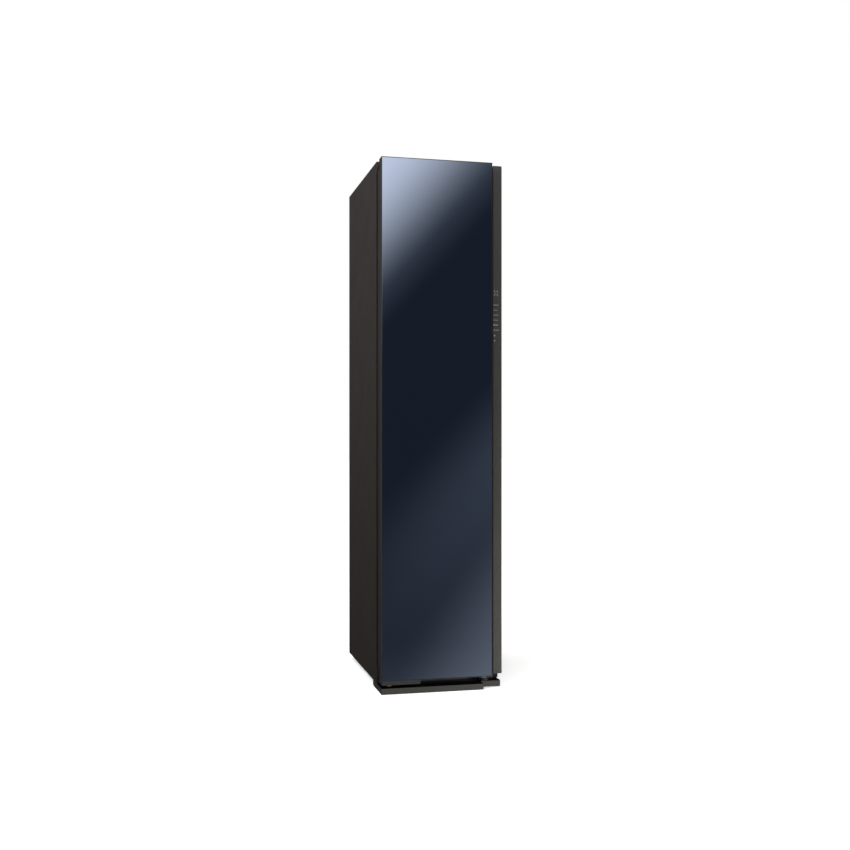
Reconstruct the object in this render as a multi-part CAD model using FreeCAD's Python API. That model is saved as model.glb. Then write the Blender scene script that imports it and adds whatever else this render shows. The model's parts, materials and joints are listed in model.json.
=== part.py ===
"""Free-standing clothes care steam cabinet with one tall mirror door, hung on the left.

Millimetres, +Z up, door towards -Y. The origin is on the floor, below the middle of the cabinet.
Garments hang in the cavity on three air hangers. A fan over the ceiling blows through the hangers.
A heat pump, a steam boiler and two water tanks fill the space below the cavity.
Each function below makes one sub-part, and MAKE at the end names the file that it goes to.
"""

import FreeCAD
import Part
import math
import os

V = FreeCAD.Vector

# ---------------------------------------------------------------- driving dimensions
# whole cabinet
width = 445.0
depth = 615.0
height = 1850.0
sheet = 1.0  # steel sheet of the casing
base_height = 21.0  # floor to the underside of the cabinet
flange = 10.0  # front return of the side panels
rear_flange = 15.0
seat = 0.2  # free space between pieces that nest
cover_skirt = 25.0

# door
door_thickness = 74.0  # mirror face to the back of the liner
door_gap = 10.0  # room for the gasket
door_clearance = 25.0  # base cover to the door's lower edge
door_top_drop = 3.0
panel_proud = 38.0  # how far the mirror panel stands in front of the control strip
panel_side = 25.0  # depth of the panel frame's side that shows
panel_wall = 3.0
strip_band = 47.5  # width of the band beside the mirror panel
glass = 4.0
glass_rim = 1.4  # frame that shows round the mirror
glass_bevel = 1.0
bed = 3.0  # plate behind the glass
panel_ribs = 6
door_wall = 2.0
door_liner_play = 0.4
shell_depth = 30.0  # the tray behind the mirror panel
lip = 16.0  # depth of the panel's edge in front of the finger groove
groove_undercut = 14.0
groove_depth = 18.0  # behind the strip's face
groove_round = 6.0
strip_width = 32.0
strip_thickness = 3.0
liner_wall = 2.5
liner_edge = 1.0  # set back of the liner's edge from the door's side
liner_dish = 22.0
dish_margin_z = 58.0
dish_round = 12.0
door_corner = 5.0  # round of the door's upper right corner
pcb = (20.0, 3.0, 250.0)
pcb_z = 1215.0

# hinge
hinge_x = 20.0  # from the cabinet's left side
hinge_y = 56.0  # from the mirror face
hinge_pin_r = 5.0
hinge_pin_length = 18.0
running = 0.05  # radial clearance of a pin in its bush
bush_wall = 3.5
knuckle_r = 11.0
arm_height = 36.0
hinge_play = 1.0  # free space round the knuckle
hinge_plate = 6.0
hinge_plate_length = 92.0
hinge_tab = 3.4  # side flange of a hinge plate, in front of the casing
hinge_cover = (138.0, 15.0, 70.0)
hinge_cover_x = 5.0
hinge_cover_wall = 2.0
hinge_cover_drop = 2.0  # below the door's lower edge
cover_boss = (25.0, 13.0, 9.5, 4.0)  # from the cover's left and front, radius, drop

# gasket and front frame
gasket_inset = 22.5  # outer edge, from the door's side
gasket_width = 13.0
gasket_play = 0.3
gasket_space = 5.0  # gasket to hinge pocket
frame_plate = 3.0
frame_depth = 18.0
frame_wall = 2.5
frame_round = 10.0

# cavity
cavity_wall = 40.5  # cabinet side to the cavity
cavity_bottom = 430.0
ceiling_space = 93.0  # cavity to the cabinet's top
cavity_round = 18.0
rear_space = 72.5  # behind the cavity, to the back
floor_plate = 3.0
floor_rim = 6.0
ceiling_plate = 4.0
shelf_lift = 130.0  # above the cavity floor
shelf_thickness = 12.0
ledge = 7.0
ledge_height = 10.0
flutes = 5
flute = (12.0, 1.2)  # width and height of the ribs pressed in the cavity's sides

# hangers
hanger_pitch = 116.0
hanger_end = 22.25  # hanger to the cavity's front and back
hanger_width = 26.0
hanger_drop_z = 45.0  # below the cavity's ceiling
hanger_drop = 62.0
hanger_bar = 20.0
hanger_slots = 6
neck_length = 52.0  # along Y
neck_width = 24.0
neck_wall = 2.2
neck_corner = 5.0  # cut off the neck's corners
socket_depth = 30.0
socket_wall = 2.5
fit = 0.4  # free space round pieces that lift or slide out

# filter, nozzle and lamp
filter_size = (118.0, 58.0, 42.0)
filter_back = 47.5  # behind the front frame
filter_wall = 2.0
filter_flange = 5.0
nozzle_r = 20.0
nozzle_slots = 4
nozzle_back = 85.0  # in front of the cavity's back
lamp_size = (120.0, 24.0)
lamp_back = 35.5  # behind the front frame

# tanks
bay_side = 4.0  # tank to the bay's side
bay_bottom = 110.0
bay_drop = 70.0  # bay to the cavity
bay_depth = 146.0
tank_width = 150.0
tank_height = 196.0
tank_depth = 122.0
tank_wall = 2.2
tank_corner = 14.0
tank_inner_corner = 8.0
tank_side = 3.0  # tank to the middle of the bay
tank_setback = 6.0  # tank face behind the frame's face
grip_size = (84.0, 30.0, 20.0)  # finger recess in a tank's face
grip_drop = 24.0
cap_length = 34.0
cap_width = 46.0
cap_plate = 3.0
mouth_margin = 4.0  # cap's overlap round the filler mouth
cap_pin_r = 1.5
cap_ear = 3.0

# heat pump, boiler and fans
pan_plate = 1.5
deck_z = 235.0
deck_plate = 1.5
coil_size = (160.0, 60.0, 128.0)
condenser_back = 157.5  # in front of the cabinet's back
coil_pitch = 80.0
fins = 10
core_plate = 4.0
tunnel_wall = 2.0
compressor_x = -115.0
compressor_back = 132.5
compressor_r = 56.0
compressor_height = 180.0
mount_r = 9.0
mount_height = 12.0
fan_r = 50.0
fan_width = 38.0
fan_blades = 9
fan_play = 6.0
scroll_wall = 2.0
duct_half = 75.0
duct_depth = 58.0
duct_wall = 2.0
jet_side = 10.0  # inside the cavity's width
jet_back = 75.5  # behind the front frame
jet_height = 82.0
jet_wall = 2.5
jet_fan_r = 60.0
jet_fan_height = 34.0
jet_fan_back = 157.5
jet_lift = 6.0
boiler_size = (120.0, 90.0, 84.0)
boiler_x = 100.0
boiler_back = 182.5
pump_r = 19.0
pump_height = 58.0
pump_x = 70.0
pump_space = 37.5  # behind the tank bay
pump_base = 18.0
power_board = (16.0, 100.0, 130.0)  # tray's depth, length and height
hose_r = 5.0
pipe_r = 3.0

# rear
bead_depth = 1.6  # ribs pressed in the rear panel
grille_side = 72.5  # cabinet side to the grille
grille_bottom = 60.0
grille_top = 225.0
grille_plate = 2.5
louvres = 9
gland_side = 47.5
gland_z = 90.0
gland_r = 11.0
gland_bore = 4.5
gland_length = 16.0

# base and feet
base_front = 1.4  # slab's front behind the mirror face
base_back = 147.0
base_step = 78.3  # from the right side to the slab's step
base_right_inset = 5.0
base_wall = 2.5
base_lift = 1.0  # slab's underside above the floor
rail_plate = 3.0
rail_inset = 12.0
foot_side = 62.5
foot_y = 58.0  # behind the mirror face
foot_r = 14.0
foot_pad = 6.0
foot_screw_r = 5.0
wheel_r = 17.0
wheel_height = 9.5
wheel_grooves = 8
rear_foot_side = 47.5
rear_foot_y = 42.0  # in front of the back
rear_foot_r = 16.0

# ---------------------------------------------------------------- derived places
right = width / 2
left = -right
front = -depth / 2
back = depth / 2
strip_face = front + panel_proud
strip_left = right - strip_width
shell_back = strip_face + shell_depth
groove_floor = strip_face + groove_depth
door_back = front + door_thickness
cabinet_front = door_back + door_gap
door_bottom = base_height + door_clearance
door_top = height - door_top_drop
panel_right = right - strip_band
groove_left = panel_right - groove_undercut
axis_x = left + hinge_x
axis_y = front + hinge_y
bush_r = hinge_pin_r + running + bush_wall
inner_half = right - sheet - seat
panel_back = back - sheet  # front face of the rear panel
liner_front = cabinet_front + frame_depth
cavity_back = back - rear_space
cavity_half = right - cavity_wall
cavity_top = height - ceiling_space
shelf_z = cavity_bottom + shelf_lift
bay_top = cavity_bottom - bay_drop
pocket_right = axis_x + knuckle_r + hinge_play
pocket_front = strip_face + door_wall
upper_arm_bottom = door_top - arm_height
upper_pocket = upper_arm_bottom - hinge_play
lower_arm_top = door_bottom + arm_height
lower_pocket = lower_arm_top + hinge_play
gasket_bottom = lower_pocket + gasket_space
gasket_top = upper_pocket - gasket_space
cavity_mid_y = (liner_front + cavity_back) / 2
hanger_span = cavity_back - liner_front - 2 * hanger_end
hanger_top = cavity_top - hanger_drop_z
filter_y = liner_front + filter_back
nozzle_y = cavity_back - nozzle_back
lamp_y = liner_front + lamp_back
jet_half = cavity_half - jet_side
jet_front = liner_front + jet_back
jet_fan_y = back - jet_fan_back
condenser_y = back - condenser_back
evaporator_y = condenser_y - coil_pitch
compressor_y = back - compressor_back
boiler_y = back - boiler_back
pump_y = cabinet_front + bay_depth + pump_space
grille_half = right - grille_side
gland_x = right - gland_side
rear_foot_x = right - rear_foot_side
foot_x = right - foot_side
neck_top = cavity_top + socket_depth
tank_front = cabinet_front + tank_setback
tank_bottom = bay_bottom + fit
tank_top = tank_bottom + tank_height
pan_top = base_height + pan_plate
deck_top = deck_z + deck_plate
duct_back = panel_back - bead_depth - seat
duct_front = duct_back - duct_depth
dish_right = groove_left - door_wall - liner_wall - door_liner_play
bay_half = tank_side + tank_width + bay_side
ceiling_top = cavity_top + ceiling_plate
hanger_places = [-hanger_pitch, 0.0, hanger_pitch]


# ---------------------------------------------------------------- shape helpers
def box(x0, x1, y0, y1, z0, z1):
    return Part.makeBox(x1 - x0, y1 - y0, z1 - z0, V(x0, y0, z0))


def along(edge, axis):
    """True if a straight edge runs along the axis named x, y or z."""
    if not isinstance(edge.Curve, Part.Line):
        return False
    step = edge.Vertexes[-1].Point - edge.Vertexes[0].Point
    lengths = {"x": abs(step.x), "y": abs(step.y), "z": abs(step.z)}
    return lengths[axis] > 0.999 * step.Length


def rounded(x0, x1, y0, y1, z0, z1, r, axis="z"):
    """A box whose four edges along the axis are rounded."""
    block = box(x0, x1, y0, y1, z0, z1)
    return block.makeFillet(r, [e for e in block.Edges if along(e, axis)])


def chamfered(x0, x1, y0, y1, z0, z1, leg):
    """A box with its four upright edges cut off."""
    block = box(x0, x1, y0, y1, z0, z1)
    return block.makeChamfer(leg, [e for e in block.Edges if along(e, "z")])


def cylinder(x, y, z0, z1, r):
    return Part.makeCylinder(r, z1 - z0, V(x, y, z0))


def cylinder_y(x, z, y0, y1, r):
    return Part.makeCylinder(r, y1 - y0, V(x, y0, z), V(0, 1, 0))


def cylinder_x(y, z, x0, x1, r):
    return Part.makeCylinder(r, x1 - x0, V(x0, y, z), V(1, 0, 0))


def fused(*shapes):
    whole = shapes[0]
    if len(shapes) > 1:
        whole = whole.multiFuse(list(shapes[1:]))
    return whole.removeSplitter()


def without(shape, tools):
    """The shape with every tool cut away at once."""
    return shape.cut(list(tools))


def prism(points, direction):
    """A closed outline of straight sides, extruded."""
    wire = Part.makePolygon(points + points[:1])
    return Part.Face(wire).extrude(direction)


def revolve(profile, x, y):
    """A closed outline of (radius, z) pairs turned about the vertical line at x, y."""
    points = [V(x + r, y, z) for r, z in profile]
    face = Part.Face(Part.makePolygon(points + points[:1]))
    return face.revolve(V(x, y, 0), V(0, 0, 1), 360)


def revolve_y(profile, x, z):
    """A closed outline of (radius, y) pairs turned about the line through x, z along Y."""
    points = [V(x + r, y, z) for r, y in profile]
    face = Part.Face(Part.makePolygon(points + points[:1]))
    return face.revolve(V(x, 0, z), V(0, 1, 0), 360)


def tube(points, r):
    """A round pipe along straight runs, with mitred corners."""
    spine = Part.makePolygon(points)
    section = Part.Wire([Part.makeCircle(r, points[0], points[1] - points[0])])
    mitred = 1
    return spine.makePipeShell([section], True, False, mitred)


def mirrored(shape):
    return shape.mirror(V(0, 0, 0), V(1, 0, 0))


def moved(shape, x, y, z):
    copy = shape.copy()
    copy.translate(V(x, y, z))
    return copy


def spread(start, end, count):
    """Evenly spaced places from start to end, both included."""
    return [start + (end - start) * i / (count - 1) for i in range(count)]


def slot_y(x0, x1, z, width_z, y0, y1):
    """A slot, long in X, through a wall that faces Y."""
    return box(x0, x1, y0, y1, z - width_z / 2, z + width_z / 2)


def slot_z(x0, x1, y, width_y, z0, z1):
    """A slot, long in X, through a plate that faces Z."""
    return box(x0, x1, y - width_y / 2, y + width_y / 2, z0, z1)


# ---------------------------------------------------------------- casing
def side_panel_left():
    """One bent sheet: a web, a front return behind the frame and a rear return."""
    front_return = cabinet_front + frame_plate
    outline = [
        V(left, cabinet_front, base_height),
        V(left + sheet, cabinet_front, base_height),
        V(left + sheet, front_return, base_height),
        V(left + flange, front_return, base_height),
        V(left + flange, front_return + sheet, base_height),
        V(left + sheet, front_return + sheet, base_height),
        V(left + sheet, panel_back - sheet, base_height),
        V(left + rear_flange, panel_back - sheet, base_height),
        V(left + rear_flange, panel_back, base_height),
        V(left + sheet, panel_back, base_height),
        V(left + sheet, back, base_height),
        V(left, back, base_height),
    ]
    bent = prism(outline, V(0, 0, height - base_height))
    lid_space = box(left + sheet, 0, cabinet_front, back, height - sheet, height)
    return bent.cut(lid_space)


def side_panel_right():
    return mirrored(side_panel_left())


def top_cover():
    """A folded lid with a shallow pressed field, down-turned at both sides."""
    dish = 2.0
    dish_margin = 45.0
    plate_bottom = height - sheet
    plate = box(-inner_half, inner_half, cabinet_front, back, plate_bottom, height)
    field = (-inner_half + dish_margin, inner_half - dish_margin,
             cabinet_front + dish_margin, back - dish_margin)
    pressed = rounded(*field, plate_bottom - dish, height, dish_margin / 2)
    hollow = rounded(field[0] + sheet, field[1] - sheet, field[2] + sheet, field[3] - sheet,
                     height - dish, height, dish_margin / 2 - sheet)
    skirt_front = cabinet_front + frame_plate + sheet + seat
    skirt_back = panel_back - sheet - seat
    skirt = box(-inner_half, -inner_half + sheet, skirt_front, skirt_back,
                height - cover_skirt, plate_bottom)
    return fused(plate, pressed, skirt, mirrored(skirt)).cut(hollow)


def rear_panel():
    """The back sheet, with beads pressed inwards, the air opening and the hole for the cord."""
    bead_r = 4.0
    bead_bottom = grille_top + 60.0
    bead_top = height - 80.0
    top = height - sheet - seat
    plate = box(-inner_half, inner_half, panel_back, back, base_height, top)
    beads = []
    grooves = []
    for x in spread(-inner_half + 60.0, inner_half - 60.0, 5):
        bead = box(x - bead_r, x + bead_r, panel_back - bead_depth, panel_back, bead_bottom, bead_top)
        groove = box(x - bead_r + sheet, x + bead_r - sheet, panel_back - bead_depth + sheet, back,
                     bead_bottom + sheet, bead_top - sheet)
        beads.append(bead)
        grooves.append(groove)
    margin = 10.0
    opening = rounded(-grille_half + margin, grille_half - margin, panel_back, back,
                      grille_bottom + margin, grille_top - margin, 8.0, "y")
    cord_hole = cylinder_y(gland_x, gland_z, panel_back, back, gland_r + seat)
    return without(fused(plate, *beads), grooves + [opening, cord_hole])


def rear_grille():
    """The air grille of the machine space, seated on the inside of the rear panel."""
    slot_height = 7.0
    gap = 9.0
    plate = box(-grille_half, grille_half, panel_back - grille_plate, panel_back,
                grille_bottom, grille_top)
    column = (2 * grille_half - 30.0 - 2 * gap) / 3
    slots = []
    for z in spread(grille_bottom + 22.0, grille_top - 22.0, louvres):
        for i in range(3):
            x0 = -grille_half + 15.0 + i * (column + gap)
            slots.append(slot_y(x0, x0 + column, z, slot_height, panel_back - grille_plate, panel_back))
    return without(plate, slots)


def base_pan():
    """A tray that carries the machine space."""
    y0 = cabinet_front + frame_plate + sheet + seat
    y1 = panel_back - sheet - seat
    tray = box(-inner_half, inner_half, y0, y1, base_height, base_height + cover_skirt)
    inner = box(-inner_half + pan_plate, inner_half - pan_plate, y0 + pan_plate, y1 - pan_plate,
                pan_top, base_height + cover_skirt)
    return tray.cut(inner)


def slab_outline(inset):
    """The base slab's outline from above, moved inwards, with the step beside the mirror panel."""
    step_x = right - base_step - inset
    end_x = right - base_right_inset - inset
    return [
        V(left + inset, front + base_front + inset, 0),
        V(step_x, front + base_front + inset, 0),
        V(step_x, strip_face + inset, 0),
        V(end_x, strip_face + inset, 0),
        V(end_x, front + base_back - inset, 0),
        V(left + inset, front + base_back - inset, 0),
    ]


def slab(inset, z0, z1):
    points = [V(p.x, p.y, z0) for p in slab_outline(inset)]
    return prism(points, V(0, 0, z1 - z0))


def base_cover():
    """The plinth under the door, open below, with a hole for each foot's screw."""
    corner = 3.0
    top_bottom = base_height - base_wall
    block = slab(0.0, base_lift, base_height)
    skin = block.makeFillet(corner, [e for e in block.Edges if along(e, "z")])
    hollow = slab(base_wall, base_lift, top_bottom)
    holes = []
    for x in (-foot_x, foot_x):
        holes.append(cylinder(x, front + foot_y, top_bottom, base_height, foot_screw_r + 0.6))
    return without(skin, [hollow] + holes)


def front_base_rail():
    """A steel plate under the plinth's top, with the nut of each front foot."""
    z1 = base_height - base_wall
    z0 = z1 - rail_plate
    nut_half = 9.0
    nut_bottom = foot_pad + 2.0
    plate = box(left + rail_inset, right - base_right_inset - rail_inset, strip_face + base_wall + 1.0,
                front + base_back - base_wall - 1.0, z0, z1)
    y0 = front + foot_y - nut_half
    nuts = [box(x - nut_half, x + nut_half, y0, y0 + 2 * nut_half, nut_bottom, z0)
            for x in (-foot_x, foot_x)]
    bores = [cylinder(x, front + foot_y, nut_bottom, z1, foot_screw_r + running)
             for x in (-foot_x, foot_x)]
    return without(fused(plate, *nuts), bores)


def front_foot(x):
    """A screw on a round pad. On the left it ends inside the hinge cover."""
    top = door_bottom - hinge_cover_drop - hinge_cover_wall - hinge_play
    profile = [(0, 0), (foot_r, 0), (foot_r - 1.5, foot_pad), (foot_screw_r, foot_pad),
               (foot_screw_r, top), (0, top)]
    return revolve(profile, x, front + foot_y)


def foot_wheel(x):
    """The knurled wheel that turns on the foot's screw, on top of the plinth."""
    z0 = base_height + 0.3
    z1 = z0 + wheel_height
    bore = foot_screw_r + running
    y = front + foot_y
    profile = [(bore, z0), (wheel_r, z0), (wheel_r, z1 - 2.5), (wheel_r - 2.5, z1), (bore, z1)]
    wheel = revolve(profile, x, y)
    grooves = []
    for i in range(wheel_grooves):
        notch = box(wheel_r - 1.4, wheel_r + 1.0, -1.0, 1.0, z0, z1)
        notch.rotate(V(0, 0, 0), V(0, 0, 1), 360.0 * i / wheel_grooves)
        grooves.append(moved(notch, x, y, 0))
    return without(wheel, grooves)


def rear_feet():
    """Two fixed glides under the pan."""
    profile = [(0, 0), (rear_foot_r, 0), (rear_foot_r - 4, base_height), (0, base_height)]
    feet = [revolve(profile, x, back - rear_foot_y) for x in (-rear_foot_x, rear_foot_x)]
    return Part.makeCompound(feet)


# ---------------------------------------------------------------- front frame and cavity
def front_frame():
    """The moulded face of the cabinet, with a collar round the cavity and one round the tank bay."""
    z0 = base_height + seat
    z1 = height - sheet - seat
    plate = box(-inner_half, inner_half, cabinet_front, cabinet_front + frame_plate, z0, z1)
    half = cavity_half + frame_wall
    cavity_collar = rounded(-half, half, cabinet_front, liner_front, cavity_bottom - frame_wall,
                            cavity_top + frame_wall, frame_round + frame_wall, "y")
    cavity_mouth = rounded(-cavity_half, cavity_half, cabinet_front, liner_front,
                           cavity_bottom, cavity_top, frame_round, "y")
    bay_collar = box(-bay_half - frame_wall, bay_half + frame_wall, cabinet_front, liner_front,
                     bay_bottom - frame_wall, bay_top + frame_wall)
    bay_mouth = box(-bay_half, bay_half, cabinet_front, liner_front, bay_bottom, bay_top)
    return without(fused(plate, cavity_collar, bay_collar), [cavity_mouth, bay_mouth])


def cavity_liner():
    """Both sides and the back of the cavity in one piece, with shelf ledges and pressed ribs."""
    outer_half = cavity_half + liner_wall
    z0 = cavity_bottom - floor_plate - liner_wall
    z1 = cavity_top
    shell = rounded(-outer_half, outer_half, liner_front - 60.0, cavity_back + liner_wall,
                    z0, z1, cavity_round + liner_wall)
    hollow = rounded(-cavity_half, cavity_half, liner_front - 60.0, cavity_back, z0, z1, cavity_round)
    ahead = box(-outer_half, outer_half, liner_front - 60.0, liner_front, z0, z1)
    walls = without(shell, [hollow, ahead])
    rest = 8.0
    y0 = liner_front
    y1 = cavity_back - cavity_round
    extras = []
    lip_face = box(-cavity_half - 1.0, -cavity_half + rest, y0, y1, z0, z0 + liner_wall)
    ledge_outline = [
        V(-cavity_half - 1.0, y0 + 12.0, shelf_z),
        V(-cavity_half + ledge, y0 + 12.0, shelf_z),
        V(-cavity_half + ledge, y0 + 12.0, shelf_z - 3.0),
        V(-cavity_half, y0 + 12.0, shelf_z - ledge_height),
        V(-cavity_half - 1.0, y0 + 12.0, shelf_z - ledge_height),
    ]
    ledge_bar = prism(ledge_outline, V(0, y1 - y0 - 24.0, 0))
    extras += [lip_face, mirrored(lip_face), ledge_bar, mirrored(ledge_bar)]
    for y in spread(y0 + 60.0, y1 - 60.0, flutes):
        rib_outline = [
            V(-cavity_half - 1.0, y - flute[0] / 2, shelf_z + 60.0),
            V(-cavity_half, y - flute[0] / 2, shelf_z + 60.0),
            V(-cavity_half + flute[1], y - flute[0] / 2 + 3.0, shelf_z + 60.0),
            V(-cavity_half + flute[1], y + flute[0] / 2 - 3.0, shelf_z + 60.0),
            V(-cavity_half, y + flute[0] / 2, shelf_z + 60.0),
            V(-cavity_half - 1.0, y + flute[0] / 2, shelf_z + 60.0),
        ]
        rib = prism(rib_outline, V(0, 0, cavity_top - shelf_z - 160.0))
        extras += [rib, mirrored(rib)]
    return fused(walls, *extras)


def cavity_floor():
    """The floor plate, with a raised rim, the filter mouth, air slots and the nozzle's hole."""
    half = cavity_half - fit
    y0 = liner_front
    y1 = cavity_back - cavity_round
    z0 = cavity_bottom - floor_plate
    rim_wall = 3.0
    plate = box(-half, half, y0, y1, z0, cavity_bottom)
    rim = box(-half, half, y0 + 4.0, y1, cavity_bottom, cavity_bottom + floor_rim)
    rim_hollow = box(-half + rim_wall, half - rim_wall, y0 + 4.0 + rim_wall, y1 - rim_wall,
                     cavity_bottom, cavity_bottom + floor_rim)
    mouth = rounded(-filter_size[0] / 2 - fit, filter_size[0] / 2 + fit,
                    filter_y - filter_size[1] / 2 - fit, filter_y + filter_size[1] / 2 + fit,
                    z0, cavity_bottom, 6.0)
    nozzle_hole = cylinder(0, nozzle_y, z0, cavity_bottom, nozzle_r + seat)
    slots = []
    for y in spread(-70.0, 110.0, 8):
        for side in (-1, 1):
            low, high = sorted((side * 50.0, side * 150.0))
            slots.append(slot_z(low, high, y, 8.0, z0, cavity_bottom))
    return without(fused(plate, rim.cut(rim_hollow)), [mouth, nozzle_hole] + slots)


def cavity_ceiling():
    """The ceiling plate on the liner's upper edge, with the hanger mouths and the lamp's mouth."""
    half = cavity_half + liner_wall
    plate = rounded(-half, half, liner_front, cavity_back + liner_wall, cavity_top, ceiling_top, 4.0)
    mouths = [neck_block(x, fit, cavity_top, ceiling_top) for x in hanger_places]
    lamp = box(-lamp_size[0] / 2 - seat, lamp_size[0] / 2 + seat, lamp_y - lamp_size[1] / 2 - seat,
               lamp_y + lamp_size[1] / 2 + seat, cavity_top, ceiling_top)
    return without(plate, mouths + [lamp])


def neck_block(x, grow, z0, z1):
    """A hanger's neck with its corners cut off, or the space round it when grown."""
    half_x = neck_width / 2 + grow
    half_y = neck_length / 2 + grow
    return chamfered(x - half_x, x + half_x, cavity_mid_y - half_y, cavity_mid_y + half_y,
                     z0, z1, neck_corner + 0.6 * grow)


def light_lens():
    """The lamp's cover, flanged under the ceiling."""
    plug = box(-lamp_size[0] / 2, lamp_size[0] / 2, lamp_y - lamp_size[1] / 2,
               lamp_y + lamp_size[1] / 2, cavity_top, ceiling_top)
    edge = 3.0
    face = rounded(-lamp_size[0] / 2 - edge, lamp_size[0] / 2 + edge, lamp_y - lamp_size[1] / 2 - edge,
                   lamp_y + lamp_size[1] / 2 + edge, cavity_top - 2.0, cavity_top, 10.0)
    return fused(plug, face)


def steam_nozzle():
    """A domed outlet in the cavity floor, with a hose tail below."""
    top = cavity_bottom + 9.0
    z0 = cavity_bottom - floor_plate
    tail = z0 - 22.0
    neck = z0 - 4.0
    profile = [(0, tail), (hose_r, tail), (hose_r, neck), (nozzle_r, neck), (nozzle_r, cavity_bottom),
               (nozzle_r + 5.0, cavity_bottom), (nozzle_r - 6.0, top), (0, top)]
    body = revolve(profile, 0, nozzle_y)
    slots = []
    for i in range(nozzle_slots):
        cut = slot_z(5.0, nozzle_r - 4.0, 0, 3.0, cavity_bottom + 1.0, top)
        cut.rotate(V(0, 0, 0), V(0, 0, 1), 360 / nozzle_slots * i)
        slots.append(moved(cut, 0, nozzle_y, 0))
    return without(body, slots)


def wall_insulation():
    """Foam between the liner and the casing, on both sides."""
    x0 = -inner_half + sheet + seat
    x1 = -cavity_half - liner_wall
    y0 = cabinet_front + frame_depth
    y1 = duct_front
    z0 = cavity_bottom - 20.0
    z1 = ceiling_top
    side = box(x0, x1, y0, y1, z0, z1)
    return Part.makeCompound([side, mirrored(side)])


# ---------------------------------------------------------------- garment hangers, shelf, filter
def arch(x, top, drop, half):
    """Two arcs that meet at the top, from one shoulder's end to the other."""
    knee = (0.55 * half, top - 0.24 * drop)
    rise = Part.Arc(V(x, -half, top - drop), V(x, -knee[0], knee[1]), V(x, 0, top))
    fall = Part.Arc(V(x, 0, top), V(x, knee[0], knee[1]), V(x, half, top - drop))
    return [rise.toShape(), fall.toShape()]


def shoulder_bar(x, inset):
    """The arched bar, moved inwards on every side by the inset."""
    half = hanger_span / 2 - inset
    x0 = x - hanger_width / 2 + inset
    top = hanger_top - inset
    low = top - hanger_bar + 2 * inset
    edges = arch(x0, top, hanger_drop, half)
    low_edges = arch(x0, low, hanger_drop, half)
    ends = []
    for side in (-1, 1):
        upper = V(x0, side * half, top - hanger_drop)
        ends.append(Part.LineSegment(upper, V(x0, side * half, low - hanger_drop)).toShape())
    outline = Part.Wire(Part.__sortEdges__(edges + low_edges + ends))
    bar = Part.Face(outline).extrude(V(hanger_width - 2 * inset, 0, 0))
    return moved(bar, 0, cavity_mid_y, 0)


def hanger(x):
    """A hollow neck that plugs in the ceiling, on a hollow arched bar with air slots below."""
    bar = shoulder_bar(x, 0.0)
    neck = neck_block(x, 0.0, hanger_top - 8.0, neck_top)
    throat = neck_block(x, -neck_wall, hanger_top - hanger_bar / 2, neck_top)
    slots = []
    low = hanger_top - hanger_drop - hanger_bar
    reach = 0.8 * hanger_span / 2
    for y in spread(cavity_mid_y - reach, cavity_mid_y + reach, hanger_slots):
        slots.append(box(x - 7.0, x + 7.0, y - 3.0, y + 3.0, low, hanger_top - 40.0))
    body = fused(bar, neck)
    return without(body, [shoulder_bar(x, neck_wall), throat] + slots)


def shelf():
    """A moulded grid that rests on the cavity's ledges, with a raised edge."""
    half = cavity_half - 2.0
    y0 = liner_front + 10.0
    y1 = cavity_back - cavity_round - 2.0
    z1 = shelf_z + shelf_thickness
    edge = 14.0
    frame = rounded(-half, half, y0, y1, shelf_z, z1, 10.0)
    tray = rounded(-half + edge, half - edge, y0 + edge, y1 - edge, shelf_z + 5.0, z1, 6.0)
    slots = []
    for y in spread(y0 + 36.0, y1 - 36.0, 9):
        for x0, x1 in ((-half + 24.0, -8.0), (8.0, half - 24.0)):
            slots.append(slot_z(x0, x1, y, 22.0, shelf_z, z1))
    return without(frame, [tray] + slots)


def lint_filter():
    """A basket that hangs in the cavity floor by its flange, with a window each side and a loop."""
    half_x = filter_size[0] / 2
    half_y = filter_size[1] / 2
    y0 = filter_y - half_y
    y1 = filter_y + half_y
    z0 = cavity_bottom - filter_size[2]
    top = cavity_bottom + 3.0
    body = rounded(-half_x, half_x, y0, y1, z0, top, 5.6)
    rim = rounded(-half_x - filter_flange, half_x + filter_flange, y0 - filter_flange, y1 + filter_flange,
                  cavity_bottom, top, 9.0)
    inner = box(-half_x + filter_wall, half_x - filter_wall, y0 + filter_wall, y1 - filter_wall,
                z0 + filter_wall, top)
    floor_mouth = box(-half_x + 8.0, half_x - 8.0, y0 + 8.0, y1 - 8.0, z0, z0 + filter_wall)
    window_x = box(-half_x + 12.0, half_x - 12.0, y0, y1, z0 + 9.0, cavity_bottom - 8.0)
    grip_outer = rounded(-16.0, 16.0, filter_y - 3.0, filter_y + 3.0, z0 + 6.0, top + 12.0, 6.0, "y")
    grip_inner = box(-12.0, 12.0, filter_y - 3.0, filter_y + 3.0, z0 + 6.0, top + 8.0)
    bridge = box(-half_x + 1.0, half_x - 1.0, filter_y - 3.0, filter_y + 3.0, top - 6.0, top)
    grip = fused(grip_outer, bridge).cut(grip_inner)
    below = box(-17.0, 17.0, filter_y - 4.0, filter_y + 4.0, z0 + 5.0, top - 6.0)
    basket = without(fused(body, rim), [inner, floor_mouth, window_x])
    return fused(basket, grip.cut(below))


def lint_mesh():
    """The mesh sleeve inside the basket's walls, as one thin tray."""
    gap = filter_wall + 0.1
    half_x = filter_size[0] / 2 - gap
    y0 = filter_y - filter_size[1] / 2 + gap
    y1 = filter_y + filter_size[1] / 2 - gap
    z0 = cavity_bottom - filter_size[2] + filter_wall
    z1 = cavity_bottom - 6.0
    outer = box(-half_x, half_x, y0, y1, z0, z1)
    inner = box(-half_x + 0.6, half_x - 0.6, y0 + 0.6, y1 - 0.6, z0 + 0.6, z1)
    return outer.cut(inner)


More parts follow.
